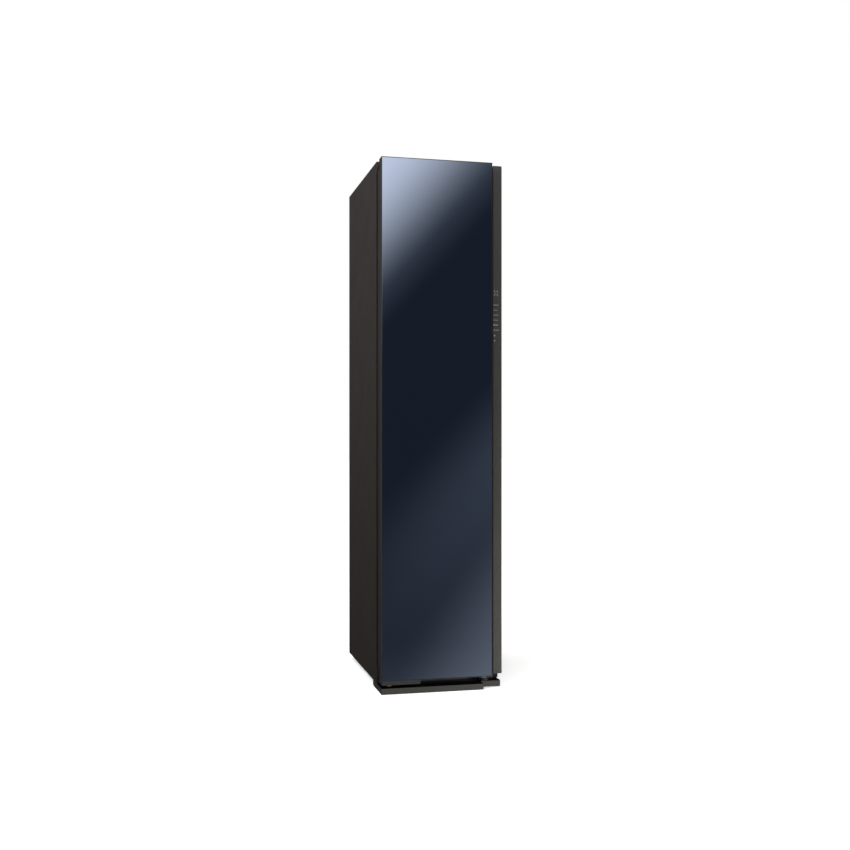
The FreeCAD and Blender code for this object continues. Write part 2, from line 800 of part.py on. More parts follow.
# ---------------------------------------------------------------- water tanks
def tank_bay():
    """The moulded pocket behind the frame's lower mouth, with a divider and two couplings."""
    outer = box(-bay_half - frame_wall, bay_half + frame_wall, liner_front,
                cabinet_front + bay_depth + frame_wall, bay_bottom - frame_wall, bay_top + frame_wall)
    inner = box(-bay_half, bay_half, liner_front, cabinet_front + bay_depth, bay_bottom, bay_top)
    divider = box(-tank_side + fit + 0.6, tank_side - fit - 0.6, liner_front + 2.0,
                  cabinet_front + bay_depth, bay_bottom, bay_bottom + 40.0)
    tails = []
    for x in (-pump_x, pump_x):
        tails.append(cylinder_y(x, bay_bottom + 16.0, cabinet_front + bay_depth + 1.0,
                                cabinet_front + bay_depth + 16.0, hose_r))
    return fused(outer.cut(inner), divider, *tails)


def tank_bounds(side, inset):
    """A tank's lowest and highest x and y, moved inwards. Side is -1 on the left, 1 on the right."""
    low, high = sorted((side * (tank_side + inset), side * (tank_side + tank_width - inset)))
    return low, high, tank_front + inset, tank_front + tank_depth - inset


def tank(side):
    """A blow-moulded tank with a finger recess in its face, a filler mouth and the cap's ears."""
    x = side * (tank_side + tank_width / 2)
    outer = rounded(*tank_bounds(side, 0.0), tank_bottom, tank_top, tank_corner)
    inner = chamfered(*tank_bounds(side, tank_wall), tank_bottom + tank_wall, tank_top - tank_wall,
                      tank_inner_corner)
    grip_z1 = tank_top - grip_drop
    grip_z0 = grip_z1 - grip_size[1]
    grip = rounded(x - grip_size[0] / 2, x + grip_size[0] / 2, tank_front, tank_front + grip_size[2],
                   grip_z0, grip_z1, 10.0, "y")
    grip_wall = box(x - grip_size[0] / 2 - tank_wall, x + grip_size[0] / 2 + tank_wall,
                    tank_front, tank_front + grip_size[2] + tank_wall,
                    grip_z0 - tank_wall, grip_z1 + tank_wall)
    mouth = box(x - cap_width / 2 + mouth_margin, x + cap_width / 2 - mouth_margin,
                cap_front() + mouth_margin, cap_back() - mouth_margin, tank_top - tank_wall, tank_top)
    shell = without(outer, [inner.cut(grip_wall), grip, mouth])
    ears = []
    for ear_x in (x - cap_width / 2, x + cap_width / 2 - cap_ear):
        ears.append(box(ear_x, ear_x + cap_ear, cap_back() + 1.0, cap_back() + 8.0,
                        tank_top - 1.0, cap_pin_z() + 2.8))
    bore = cylinder_x(cap_pin_y(), cap_pin_z(), x - cap_width / 2, x + cap_width / 2, cap_pin_r + running)
    return fused(shell, *ears).cut(bore)


def cap_front():
    return tank_front + 34.0


def cap_back():
    return cap_front() + cap_length


def cap_pin_y():
    return cap_back() + 4.5


def cap_pin_z():
    return tank_top + 4.0


def tank_cap(side):
    """A filler cap with a plug rim below, a thumb edge, and its own pin between the ears."""
    x = side * (tank_side + tank_width / 2)
    z0 = tank_top + 0.3
    plate = rounded(x - cap_width / 2, x + cap_width / 2, cap_front(), cap_back(), z0, z0 + cap_plate, 7.0)
    plug_gap = mouth_margin + fit
    plug = box(x - cap_width / 2 + plug_gap, x + cap_width / 2 - plug_gap, cap_front() + plug_gap,
               cap_back() - plug_gap - 0.6, z0 - 5.0, z0 + 1.0)
    plug_hollow = box(x - cap_width / 2 + plug_gap + 2.0, x + cap_width / 2 - plug_gap - 2.0,
                      cap_front() + plug_gap + 2.0, cap_back() - plug_gap - 2.6, z0 - 5.0, z0 + 0.5)
    arm_half = cap_width / 2 - cap_ear - fit
    barrel = cylinder_x(cap_pin_y(), cap_pin_z(), x - arm_half, x + arm_half, 2.8)
    strap = box(x - arm_half, x + arm_half, cap_back() - 3.0, cap_pin_y(), z0 + 0.6, z0 + cap_plate)
    pin = cylinder_x(cap_pin_y(), cap_pin_z(), x - cap_width / 2, x + cap_width / 2, cap_pin_r)
    thumb = box(x - 9.0, x + 9.0, cap_front() - 4.0, cap_front() + 6.0, z0, z0 + cap_plate)
    return fused(plate, plug, barrel, strap, pin, thumb).cut(plug_hollow)


# ---------------------------------------------------------------- air system over the ceiling
def blower(r, z0, z1, blades, bore):
    """A centrifugal rotor about the vertical line at the origin: disc, hub, curved blades and ring."""
    disc = 2.0
    ring = revolve([(r - 6.0, z1 - disc), (r, z1 - disc), (r, z1), (r - 6.0, z1)], 0, 0)
    hub_top = z0 + 12.0
    hub = revolve([(bore, z0), (r, z0), (r, z0 + disc), (14.0, z0 + disc), (14.0, hub_top),
                   (bore, hub_top)], 0, 0)
    vanes = []
    for i in range(blades):
        blade = box(r - 14.0, r - 1.0, -0.7, 0.7, z0 + 1.0, z1 - 1.0)
        blade.rotate(V(r - 1.0, 0, 0), V(0, 0, 1), 28)
        blade.rotate(V(0, 0, 0), V(0, 0, 1), 360.0 * i / blades)
        vanes.append(blade)
    return fused(hub, ring, *vanes)


def jet_housing():
    """The plenum over the ceiling: three sockets below, the fan's chamber and the duct's mouth behind."""
    z0 = ceiling_top
    z1 = z0 + jet_height
    y1 = duct_front
    skin = rounded(-jet_half, jet_half, jet_front, y1, z0, z1, 16.0)
    hollow = rounded(-jet_half + jet_wall, jet_half - jet_wall, jet_front + jet_wall, y1 - jet_wall,
                     z0 + jet_wall, z1 - jet_wall, 16.0 - jet_wall)
    duct_mouth = box(-duct_half + 8.0, duct_half - 8.0, y1 - jet_wall, y1, z0 + 12.0, z1 - 12.0)
    sockets = []
    spaces = []
    for x in hanger_places:
        half_x = neck_width / 2 + fit + socket_wall
        half_y = neck_length / 2 + fit + socket_wall
        sockets.append(box(x - half_x, x + half_x, cavity_mid_y - half_y, cavity_mid_y + half_y,
                           z0, neck_top + 2.0))
        spaces.append(neck_block(x, fit, z0, neck_top + 2.0))
    motor_hole = cylinder(0, jet_fan_y, z1 - jet_wall, z1, 22.0 + seat)
    body = fused(skin.cut(hollow), *sockets)
    return without(body, spaces + [duct_mouth, motor_hole])


def jet_fan():
    """The rotor in the plenum, on its motor's shaft."""
    z1 = ceiling_top + jet_height - jet_wall - jet_lift
    z0 = z1 - jet_fan_height
    rotor = blower(jet_fan_r, z0, z1, fan_blades, 4.0 + running)
    return moved(rotor, 0, jet_fan_y, 0)


def jet_fan_motor():
    """A motor in the plenum's roof, with the rotor's shaft."""
    roof = ceiling_top + jet_height
    fan_top = roof - jet_wall - jet_lift
    fan_bottom = fan_top - jet_fan_height
    profile = [(0, fan_bottom - 1.0), (4.0, fan_bottom - 1.0), (4.0, roof - 14.0), (22.0, roof - 14.0),
               (22.0, roof), (0, roof)]
    return revolve(profile, 0, jet_fan_y)


def rear_duct():
    """The tall duct behind the cavity, from the heat pump's fan up to the plenum."""
    z0 = deck_top + 2 * (fan_r + fan_play + scroll_wall) + 8.0
    z1 = ceiling_top + jet_height
    y0 = duct_front
    y1 = duct_back
    outer = rounded(-duct_half, duct_half, y0, y1, z0, z1, 10.0)
    inner = rounded(-duct_half + duct_wall, duct_half - duct_wall, y0 + duct_wall, y1 - duct_wall,
                    z0 + duct_wall, z1 - duct_wall, 8.0)
    upper_mouth = box(-duct_half + 8.0, duct_half - 8.0, y0, y0 + duct_wall,
                      ceiling_top + 12.0, z1 - 12.0)
    lower_mouth = box(8.0, fan_r + fan_play, y0 + 5.0, y1 - 5.0, z0, z0 + duct_wall)
    return without(outer, [inner, upper_mouth, lower_mouth])


# ---------------------------------------------------------------- heat pump
def machine_deck():
    """A sheet shelf across the machine space, folded down at both sides, with holes for the pipes."""
    y0 = cabinet_front + bay_depth + frame_wall + 3.0
    y1 = panel_back - sheet - seat
    plate = box(-inner_half, inner_half, y0, y1, deck_z, deck_top)
    fold = box(-inner_half, -inner_half + deck_plate, y0, y1, deck_z - cover_skirt, deck_top)
    holes = []
    places = [(x, y, pipe_r) for x, y in pipe_holes()] + [(boiler_x + 20.0, boiler_neck_y(), hose_r)]
    for x, y, r in places:
        half = r + 1.0
        holes.append(box(x - half, x + half, y - half, y + half, deck_z, deck_top))
    return without(fused(plate, fold, mirrored(fold)), holes)


def pipe_holes():
    """Where the pipes pass the deck: evaporator's two ends, then the condenser's two ends."""
    left_x = compressor_x + compressor_r + 19.0
    right_x = -compressor_x / 2
    evaporator_ends = [(left_x, evaporator_y), (right_x, evaporator_y)]
    return evaporator_ends + [(left_x, compressor_y), (right_x, condenser_y)]


def coil(y):
    """A finned block on the deck: one core plate with upright fins on both of its faces."""
    half_x = coil_size[0] / 2
    pitch = coil_size[0] / (2 * fins - 1)
    root = y + core_plate / 2
    crest = y + coil_size[1] / 2
    back_side = []
    for i in range(fins):
        x0 = 2 * i * pitch - half_x
        x1 = x0 + pitch
        back_side += [V(x0, root, deck_top), V(x0, crest, deck_top)]
        back_side += [V(x1, crest, deck_top), V(x1, root, deck_top)]
    front_side = [V(point.x, 2 * y - point.y, deck_top) for point in reversed(back_side)]
    return prism(back_side + front_side, V(0, 0, coil_size[2]))


def heat_exchangers():
    """The evaporator in front and the condenser behind it, alike."""
    return Part.makeCompound([coil(evaporator_y), coil(condenser_y)])


def tunnel():
    """The hood over both coils, open at the front, with the fan's inlet in its back wall."""
    half = coil_size[0] / 2 + 10.0
    y0 = evaporator_y - coil_size[1] / 2 - 6.0
    y1 = duct_front
    z1 = deck_top + coil_size[2] + 4.0
    hood = box(-half - tunnel_wall, half + tunnel_wall, y0, y1, deck_top, z1 + tunnel_wall)
    inside = box(-half, half, y0, y1 - tunnel_wall, deck_top, z1)
    inlet = cylinder_y(fan_centre_x(), fan_centre_z(), y1 - tunnel_wall, y1, fan_r - 14.0)
    return without(hood, [inside, inlet])


def fan_centre_x():
    return -6.0


def scroll(inset, y0, y1):
    """A spiral casing in the XZ plane that opens upwards on its right side."""
    r = fan_r + fan_play + scroll_wall - inset
    x = fan_centre_x()
    outlet_right = fan_r + fan_play + scroll_wall - inset
    top = deck_top + 2 * (fan_r + fan_play + scroll_wall) + 8.0
    drum = cylinder_y(x, fan_centre_z(), y0, y1, r)
    throat = box(x + 12.0 + inset, outlet_right, y0, y1, fan_centre_z(), top)
    return fused(drum, throat)


def fan_centre_z():
    return deck_top + fan_r + fan_play + scroll_wall


def fan_case():
    """The spiral casing of the heat pump's fan, on the deck, with an inlet ring at its front."""
    y0 = duct_front
    y1 = duct_front + duct_depth
    outer = scroll(0.0, y0, y1)
    inner = scroll(scroll_wall, y0 + scroll_wall, y1 - scroll_wall)
    inlet = cylinder_y(fan_centre_x(), fan_centre_z(), y0, y0 + scroll_wall, fan_r - 14.0)
    motor_hole = cylinder_y(fan_centre_x(), fan_centre_z(), y1 - scroll_wall, y1, 16.0 + seat)
    top = deck_top + 2 * (fan_r + fan_play + scroll_wall) + 8.0
    outlet = box(8.0, fan_r + fan_play, y0 + 5.0, y1 - 5.0, top - 3.0 * scroll_wall, top)
    return without(outer, [inner, inlet, motor_hole, outlet])


def heat_pump_casing():
    """The tunnel and the spiral casing, moulded in one."""
    return fused(tunnel(), fan_case())


def process_fan():
    """The rotor of the heat pump's fan, turned about a line along Y."""
    rotor = blower(fan_r, 0.0, fan_width, fan_blades, 4.0 + running)
    rotor.rotate(V(0, 0, 0), V(1, 0, 0), 90)
    return moved(rotor, fan_centre_x(), duct_front + duct_depth - 8.0, fan_centre_z())


def process_fan_motor():
    """The motor in the back of the spiral casing, with its shaft."""
    y1 = duct_front + duct_depth
    profile = [(0, y1 - 24.0), (4.0, y1 - 24.0), (4.0, y1 - 7.0), (16.0, y1 - 7.0), (16.0, y1), (0, y1)]
    return revolve_y(profile, fan_centre_x(), fan_centre_z())


def fan_motors():
    return Part.makeCompound([jet_fan_motor(), process_fan_motor()])


def compressor():
    """A welded drum with domed ends on three feet, with its two pipe stubs."""
    z0 = pan_top + mount_height
    z1 = z0 + compressor_height
    r = compressor_r
    profile = [(0, z0), (r - 10.0, z0), (r, z0 + 18.0), (r, z1 - 26.0), (r - 16.0, z1 - 4.0), (0, z1)]
    drum = revolve(profile, compressor_x, compressor_y)
    feet = []
    for i in range(3):
        foot = box(r - 22.0, r + 16.0, -11.0, 11.0, z0, z0 + 4.0)
        foot.rotate(V(0, 0, 0), V(0, 0, 1), 120 * i + 60)
        feet.append(moved(foot, compressor_x, compressor_y, 0))
    return fused(drum, *feet)


def compressor_mounts():
    """Three rubber mounts between the compressor's feet and the pan."""
    mounts = []
    for i in range(3):
        turn = math.radians(120 * i + 60)
        x = compressor_x + (compressor_r + 6.0) * math.cos(turn)
        y = compressor_y + (compressor_r + 6.0) * math.sin(turn)
        z1 = pan_top + mount_height
        mounts.append(cylinder(x, y, pan_top, z1, mount_r))
    return Part.makeCompound(mounts)


def steam_generator():
    """An upright boiler with a heater flange and the steam outlet's neck."""
    x0 = boiler_x - boiler_size[0] / 2
    y0 = boiler_y - boiler_size[1] / 2
    z1 = pan_top + boiler_size[2]
    body = rounded(x0, x0 + boiler_size[0], y0, y0 + boiler_size[1], pan_top, z1, 16.0)
    neck = cylinder(boiler_x + 20.0, boiler_neck_y(), z1 - 1.0, z1 + 14.0, hose_r + 3.0)
    heater = cylinder_y(boiler_x - 20.0, pan_top + 30.0, y0 - 10.0, y0 + 1.0, 15.0)
    return fused(body, neck, heater)


def boiler_neck_y():
    return boiler_y + boiler_size[1] / 2 - 20.0


def pump(x):
    """A small upright pump: a round motor on a square wet end."""
    half = pump_r + 4.0
    wet_end = box(x - half, x + half, pump_y - half, pump_y + half, pan_top, pan_top + pump_base)
    return fused(wet_end, cylinder(x, pump_y, pan_top + pump_base, pan_top + pump_height, pump_r))


def water_pumps():
    """The feed pump on the left and the drain pump on the right."""
    return Part.makeCompound([pump(-pump_x), pump(pump_x)])


def water_hoses():
    """Hoses from the tank bay to each pump, from the feed pump to the boiler, and the steam hose."""
    bay_tail_y = cabinet_front + bay_depth + 16.0
    bay_tail_z = bay_bottom + 16.0
    pump_top = pan_top + pump_height
    hoses = []
    for x in (-pump_x, pump_x):
        points = [V(x, bay_tail_y, bay_tail_z), V(x, pump_y, bay_tail_z), V(x, pump_y, pump_top)]
        hoses.append(tube(points, hose_r))
    feed_z = pan_top + pump_base / 2
    boiler_left = boiler_x - boiler_size[0] / 2
    feed_y = boiler_y - boiler_size[1] / 4
    feed = [V(-pump_x, pump_y + pump_r + 4.0, feed_z), V(-pump_x, feed_y, feed_z),
            V(boiler_left, feed_y, feed_z)]
    hoses.append(tube(feed, hose_r))
    neck_z = pan_top + boiler_size[2] + 14.0
    steam_x = boiler_x + 20.0
    tail_z = cavity_bottom - floor_plate - 22.0
    steam = [V(steam_x, boiler_neck_y(), neck_z), V(steam_x, boiler_neck_y(), tail_z - 26.0),
             V(0, nozzle_y, tail_z - 26.0), V(0, nozzle_y, tail_z)]
    hoses.append(tube(steam, hose_r))
    return Part.makeCompound(hoses)


def refrigerant_pipes():
    """Copper pipes: compressor to condenser, evaporator to compressor, condenser to evaporator."""
    high = pan_top + mount_height + 120.0
    low = pan_top + mount_height + 60.0
    liquid_z = deck_z - 30.0
    evaporator_out, evaporator_in, condenser_in, condenser_out = pipe_holes()
    discharge = [V(compressor_x + compressor_r, compressor_y, high), V(condenser_in[0], compressor_y, high),
                 V(condenser_in[0], compressor_y, deck_top)]
    suction = [V(compressor_x, compressor_y - compressor_r, low), V(compressor_x, evaporator_out[1], low),
               V(*evaporator_out, low), V(*evaporator_out, deck_top)]
    liquid = [V(*condenser_out, deck_top), V(*condenser_out, liquid_z), V(*evaporator_in, liquid_z),
              V(*evaporator_in, deck_top)]
    return Part.makeCompound([tube(route, pipe_r) for route in (discharge, suction, liquid)])


def control_board():
    """A tray on the right side panel that holds the power board and its tall parts."""
    tray_depth, length, tall = power_board
    wall = 2.0
    x1 = right - sheet
    x0 = x1 - tray_depth
    floor = x1 - 2 * wall
    y0 = pump_y - length / 5
    z0 = base_height + cover_skirt + 14.0
    tray = box(x0, x1, y0, y0 + length, z0, z0 + tall)
    inside = box(x0, floor, y0 + wall, y0 + length - wall, z0 + wall, z0 + tall - wall)
    parts = [
        box(x0 - 10.0, floor + 1.0, y0 + 0.12 * length, y0 + 0.4 * length,
            z0 + 0.54 * tall, z0 + 0.85 * tall),
        cylinder_x(y0 + 0.7 * length, z0 + 0.7 * tall, x0 - 12.0, floor + 1.0, 11.0),
        box(x0 - 2.0, floor + 1.0, y0 + 0.52 * length, y0 + 0.9 * length,
            z0 + 0.15 * tall, z0 + 0.38 * tall),
    ]
    return fused(tray.cut(inside), *parts)


def cord_inlet():
    """A flanged bush in the rear panel that the power cord passes through."""
    inside = back - gland_length
    profile = [(gland_bore, inside), (gland_r - 1.0, inside), (gland_r - 1.0, panel_back - 5.0),
               (gland_r + 4.0, panel_back - 5.0), (gland_r + 4.0, panel_back), (gland_r, panel_back),
               (gland_r, back), (gland_bore, back)]
    return revolve_y(profile, gland_x, gland_z)


# ---------------------------------------------------------------- hinges
def hinge(arm_bottom, arm_top, tab_top, pin_z):
    """A screwed plate with a side flange, an arm with a round end, and the pin into the door."""
    plate_left = axis_x - knuckle_r
    plate = box(plate_left, plate_left + hinge_plate_length, cabinet_front - hinge_plate, cabinet_front,
                arm_bottom, arm_top)
    tab = box(left, plate_left + 1.0, cabinet_front - hinge_tab, cabinet_front, arm_bottom, tab_top)
    arm = box(axis_x - knuckle_r, axis_x + knuckle_r, axis_y, cabinet_front, arm_bottom, arm_top)
    knuckle = cylinder(axis_x, axis_y, arm_bottom, arm_top, knuckle_r)
    low, high = sorted(pin_z)
    pin = cylinder(axis_x, axis_y, low, high, hinge_pin_r)
    return fused(plate, tab, arm, knuckle, pin)


def upper_hinge():
    pin_z = (upper_arm_bottom - hinge_pin_length, upper_arm_bottom + 1.0)
    return hinge(upper_arm_bottom, door_top, height, pin_z)


def lower_hinge():
    pin_z = (lower_arm_top - 1.0, lower_arm_top + hinge_pin_length)
    return hinge(door_bottom, lower_arm_top, lower_arm_top, pin_z)


def lower_hinge_cover():
    """The cover under the door's lower corner, open below, with the round end of its fixing."""
    x0 = left + hinge_cover_x
    x1 = x0 + hinge_cover[0]
    z1 = door_bottom - hinge_cover_drop
    z0 = z1 - hinge_cover[1]
    y1 = cabinet_front
    y0 = y1 - hinge_cover[2]
    wall = hinge_cover_wall
    skin = rounded(x0, x1, y0, y1 + 10.0, z0, z1, 6.0)
    hollow = rounded(x0 + wall, x1 - wall, y0 + wall, y1 + 10.0, z0, z1 - wall, 6.0 - wall)
    behind = box(x0, x1, y1, y1 + 10.0, z0, z1)
    back_wall = box(x0 + wall, x1 - wall, y1 - wall, y1, z0, z1 - wall)
    from_left, from_front, boss_r, boss_drop = cover_boss
    boss = cylinder(x0 + from_left, y0 + from_front, z0 - boss_drop, z1 - 1.0, boss_r)
    return fused(without(skin, [hollow, behind]), back_wall, boss)


# ---------------------------------------------------------------- door
def door_glass():
    pane = box(left + glass_rim, panel_right - glass_rim, front, front + glass,
               door_bottom + glass_rim, door_top - glass_rim)
    rim = [e for e in pane.Edges if max(v.Point.y for v in e.Vertexes) < front + 0.01]
    return pane.makeChamfer(glass_bevel, rim)


def door_panel_frame():
    """The moulded frame of the mirror: a bed, a side rim, ribs behind, and the finger lip."""
    face = front + 0.3
    step = front + panel_side
    nest = door_wall + seat
    wide = [
        V(left, face, door_bottom),
        V(panel_right, face, door_bottom),
        V(panel_right, front + lip, door_bottom),
        V(groove_left, front + lip, door_bottom),
        V(groove_left, step, door_bottom),
        V(left, step, door_bottom),
    ]
    outer = prism(wide, V(0, 0, door_top - door_bottom))
    lip_edge = [e for e in outer.Edges if along(e, "z") and e.Vertexes[0].Point.x > panel_right - 1
                and e.Vertexes[0].Point.y > face + 1]
    outer = outer.makeFillet(4.0, lip_edge)
    narrow = box(left + nest, groove_left, step, strip_face, door_bottom + nest, door_top - nest)
    y_bed = front + glass + bed
    hollow = box(left + nest + panel_wall, groove_left - panel_wall, y_bed, strip_face,
                 door_bottom + nest + panel_wall, door_top - nest - panel_wall)
    pocket = box(left + glass_rim - 0.1, panel_right - glass_rim + 0.1, front, front + glass,
                 door_bottom + glass_rim - 0.1, door_top - glass_rim + 0.1)
    ribs = []
    for z in spread(door_bottom, door_top, panel_ribs + 2)[1:-1]:
        ribs.append(box(left + nest + 1.0, groove_left - 1.0, y_bed - 1.0, strip_face, z - 1.5, z + 1.5))
    frame = without(fused(outer, narrow), [hollow, pocket])
    return fused(frame, *ribs)


def groove_space(grow, z0, z1):
    """The finger groove, or the outside of its wall when grown."""
    return rounded(groove_left - grow, strip_left + grow, strip_face - 3 * groove_round,
                   groove_floor + grow, z0, z1, groove_round + grow)


def pocket_space(grow, z0, z1, y1):
    """A hinge pocket in the door's corner, or the outside of its wall when grown."""
    return box(left - 1.0, pocket_right + grow, pocket_front - grow, y1, z0, z1)


def corner_waste(y0, y1):
    """What the round of the door's upper right corner takes away."""
    x = right - door_corner
    z = door_top - door_corner
    block = box(x, right + 1.0, y0, y1, z, door_top + 1.0)
    return block.cut(cylinder_y(x, z, y0, y1, door_corner))


def door_shell():
    """The steel tray behind the mirror panel, with the finger groove and both hinge pockets."""
    strip_back = strip_face + strip_thickness
    outer = box(left, right, strip_face, shell_back, door_bottom, door_top)
    rim = box(left, groove_left, front + panel_side, strip_face, door_bottom, door_top)
    rim_hollow = box(left + door_wall, groove_left, front + panel_side, strip_face,
                     door_bottom + door_wall, door_top - door_wall)
    ahead = box(groove_left - 1.0, right + 1.0, front, strip_face, door_bottom - 1.0, door_top + 1.0)
    strip_seat = box(strip_left, right, strip_face, strip_back, door_bottom, door_top)
    z0 = door_bottom + door_wall
    z1 = door_top - door_wall
    void = box(left + door_wall, right - door_wall, strip_face + door_wall, shell_back, z0, z1)
    strip_wall = box(strip_left - door_wall, right, strip_face, strip_back + door_wall, z0, z1)
    groove_wall = groove_space(door_wall, z0 - 1.0, z1 + 1.0)
    upper_wall = pocket_space(door_wall, upper_pocket - door_wall, door_top + 1.0, shell_back)
    lower_wall = pocket_space(door_wall, door_bottom - 1.0, lower_pocket + door_wall, shell_back)
    void = without(void, [strip_wall, groove_wall, upper_wall, lower_wall])
    upper = pocket_space(0.0, upper_pocket, door_top + 1.0, shell_back)
    lower = pocket_space(0.0, door_bottom - 1.0, lower_pocket, shell_back)
    groove = groove_space(0.0, door_bottom - 1.0, door_top + 1.0)
    bushes = [cylinder(axis_x, axis_y, upper_pocket - 3 * door_wall, upper_pocket, bush_r + seat / 2),
              cylinder(axis_x, axis_y, lower_pocket, lower_pocket + 3 * door_wall, bush_r + seat / 2)]
    tray = fused(outer, rim)
    corner = corner_waste(strip_face, shell_back)
    return without(tray, [void, rim_hollow, ahead, strip_seat, groove, upper, lower, corner] + bushes)


def door_insulation():
    """The foam that fills the tray, cut round the groove, the pockets, the board and the dish."""
    z0 = door_bottom + door_wall
    z1 = door_top - door_wall
    core = box(left + door_wall, right - door_wall, strip_face + door_wall, door_back - liner_wall, z0, z1)
    edge = left + liner_edge + liner_wall
    behind = box(edge, -edge, shell_back, door_back - liner_wall, z0 + liner_wall, z1 - liner_wall)
    core = core.common(fused(box(left, right, strip_face, shell_back, z0, z1), behind))
    strip_back = strip_face + strip_thickness + door_wall
    cuts = [
        box(strip_left - door_wall, right, strip_face, strip_back, z0, z1),
        groove_space(door_wall, z0, z1),
        pocket_space(door_wall, upper_pocket - door_wall, door_top, door_back),
        pocket_space(door_wall, door_bottom, lower_pocket + door_wall, door_back),
        dish_space(liner_wall, door_back),
        board_space(0.3),
        bush_space(upper_pocket - hinge_pin_length - 4.0, upper_pocket),
        bush_space(lower_pocket, lower_pocket + hinge_pin_length + 4.0),
    ]
    return without(core, cuts)


def bush_space(z0, z1):
    """The square hole in the foam round a hinge bush."""
    half = bush_r + seat
    return box(axis_x - half, axis_x + half, axis_y - half, axis_y + half, z0, z1)


def dish_space(grow, y1):
    """The dish in the back of the door, or the outside of its wall when grown."""
    return rounded(-dish_right - grow, dish_right + grow,
                   door_back - liner_dish - grow, y1, door_bottom + dish_margin_z - grow,
                   door_top - dish_margin_z + grow, dish_round + grow, "y")


def board_space(grow):
    """The control board behind the strip, standing off the tray's face."""
    middle = (strip_left + right) / 2
    y0 = strip_face + strip_thickness + door_wall
    return box(middle - pcb[0] / 2 - grow, middle + pcb[0] / 2 + grow, y0, y0 + pcb[1] + grow,
               pcb_z - grow, pcb_z + pcb[2] + grow)


def door_liner():
    """The vacuum-formed back of the door: a rim on the tray, a face for the gasket and the dish."""
    x0 = left + liner_edge
    z0 = door_bottom + liner_edge
    z1 = door_top - liner_edge
    block = box(x0, -x0, shell_back, door_back, z0, z1)
    inner = box(x0 + liner_wall, -x0 - liner_wall, shell_back, door_back - liner_wall,
                z0 + liner_wall, z1 - liner_wall)
    dish_outer = dish_space(liner_wall, door_back)
    upper_wall = pocket_space(door_wall, upper_pocket - door_wall, door_top + 1.0, door_back)
    lower_wall = pocket_space(door_wall, door_bottom - 1.0, lower_pocket + door_wall, door_back)
    rim = block.cut(without(inner, [upper_wall, lower_wall]))
    body = fused(rim, dish_outer)
    upper = pocket_space(0.0, upper_pocket, door_top + 1.0, door_back + 1.0)
    lower = pocket_space(0.0, door_bottom - 1.0, lower_pocket, door_back + 1.0)
    return without(body, [dish_space(0.0, door_back + 1.0), upper, lower])


def door_gasket():
    """The magnetic gasket's ring on the liner's face, with a bellows groove on its outer side."""
    x0 = left + gasket_inset
    y0 = door_back
    y1 = cabinet_front - gasket_play
    ring = box(x0, -x0, y0, y1, gasket_bottom, gasket_top)
    hollow = box(x0 + gasket_width, -x0 - gasket_width, y0, y1,
                 gasket_bottom + gasket_width, gasket_top - gasket_width)
    fold = 2.5
    middle = (y0 + y1) / 2
    notch = box(x0 - 1, -x0 + 1, middle - 1.2, middle + 1.2, gasket_bottom - 1, gasket_top + 1)
    notch = notch.cut(box(x0 + fold, -x0 - fold, middle - 2, middle + 2,
                          gasket_bottom + fold, gasket_top - fold))
    return without(ring, [hollow, notch])


def control_strip():
    """The touch strip beside the mirror panel, its front edges softened."""
    strip = box(strip_left, right, strip_face, strip_face + strip_thickness, door_bottom, door_top)
    edges = [e for e in strip.Edges if along(e, "z") and e.Vertexes[0].Point.y < strip_face + 0.01]
    softened = strip.makeFillet(1.0, edges)
    return softened.cut(corner_waste(strip_face, strip_face + strip_thickness))


def control_pcb():
    return board_space(0.0)


def door_bushes():
    """The plastic bushes that the hinge pins turn in."""
    bore = hinge_pin_r + running
    tubes = []
    for end, start in ((upper_pocket - hinge_pin_length, upper_pocket),
                       (lower_pocket, lower_pocket + hinge_pin_length)):
        profile = [(bore, end), (bush_r, end), (bush_r, start), (bore, start)]
        tubes.append(revolve(profile, axis_x, axis_y))
    return Part.makeCompound(tubes)


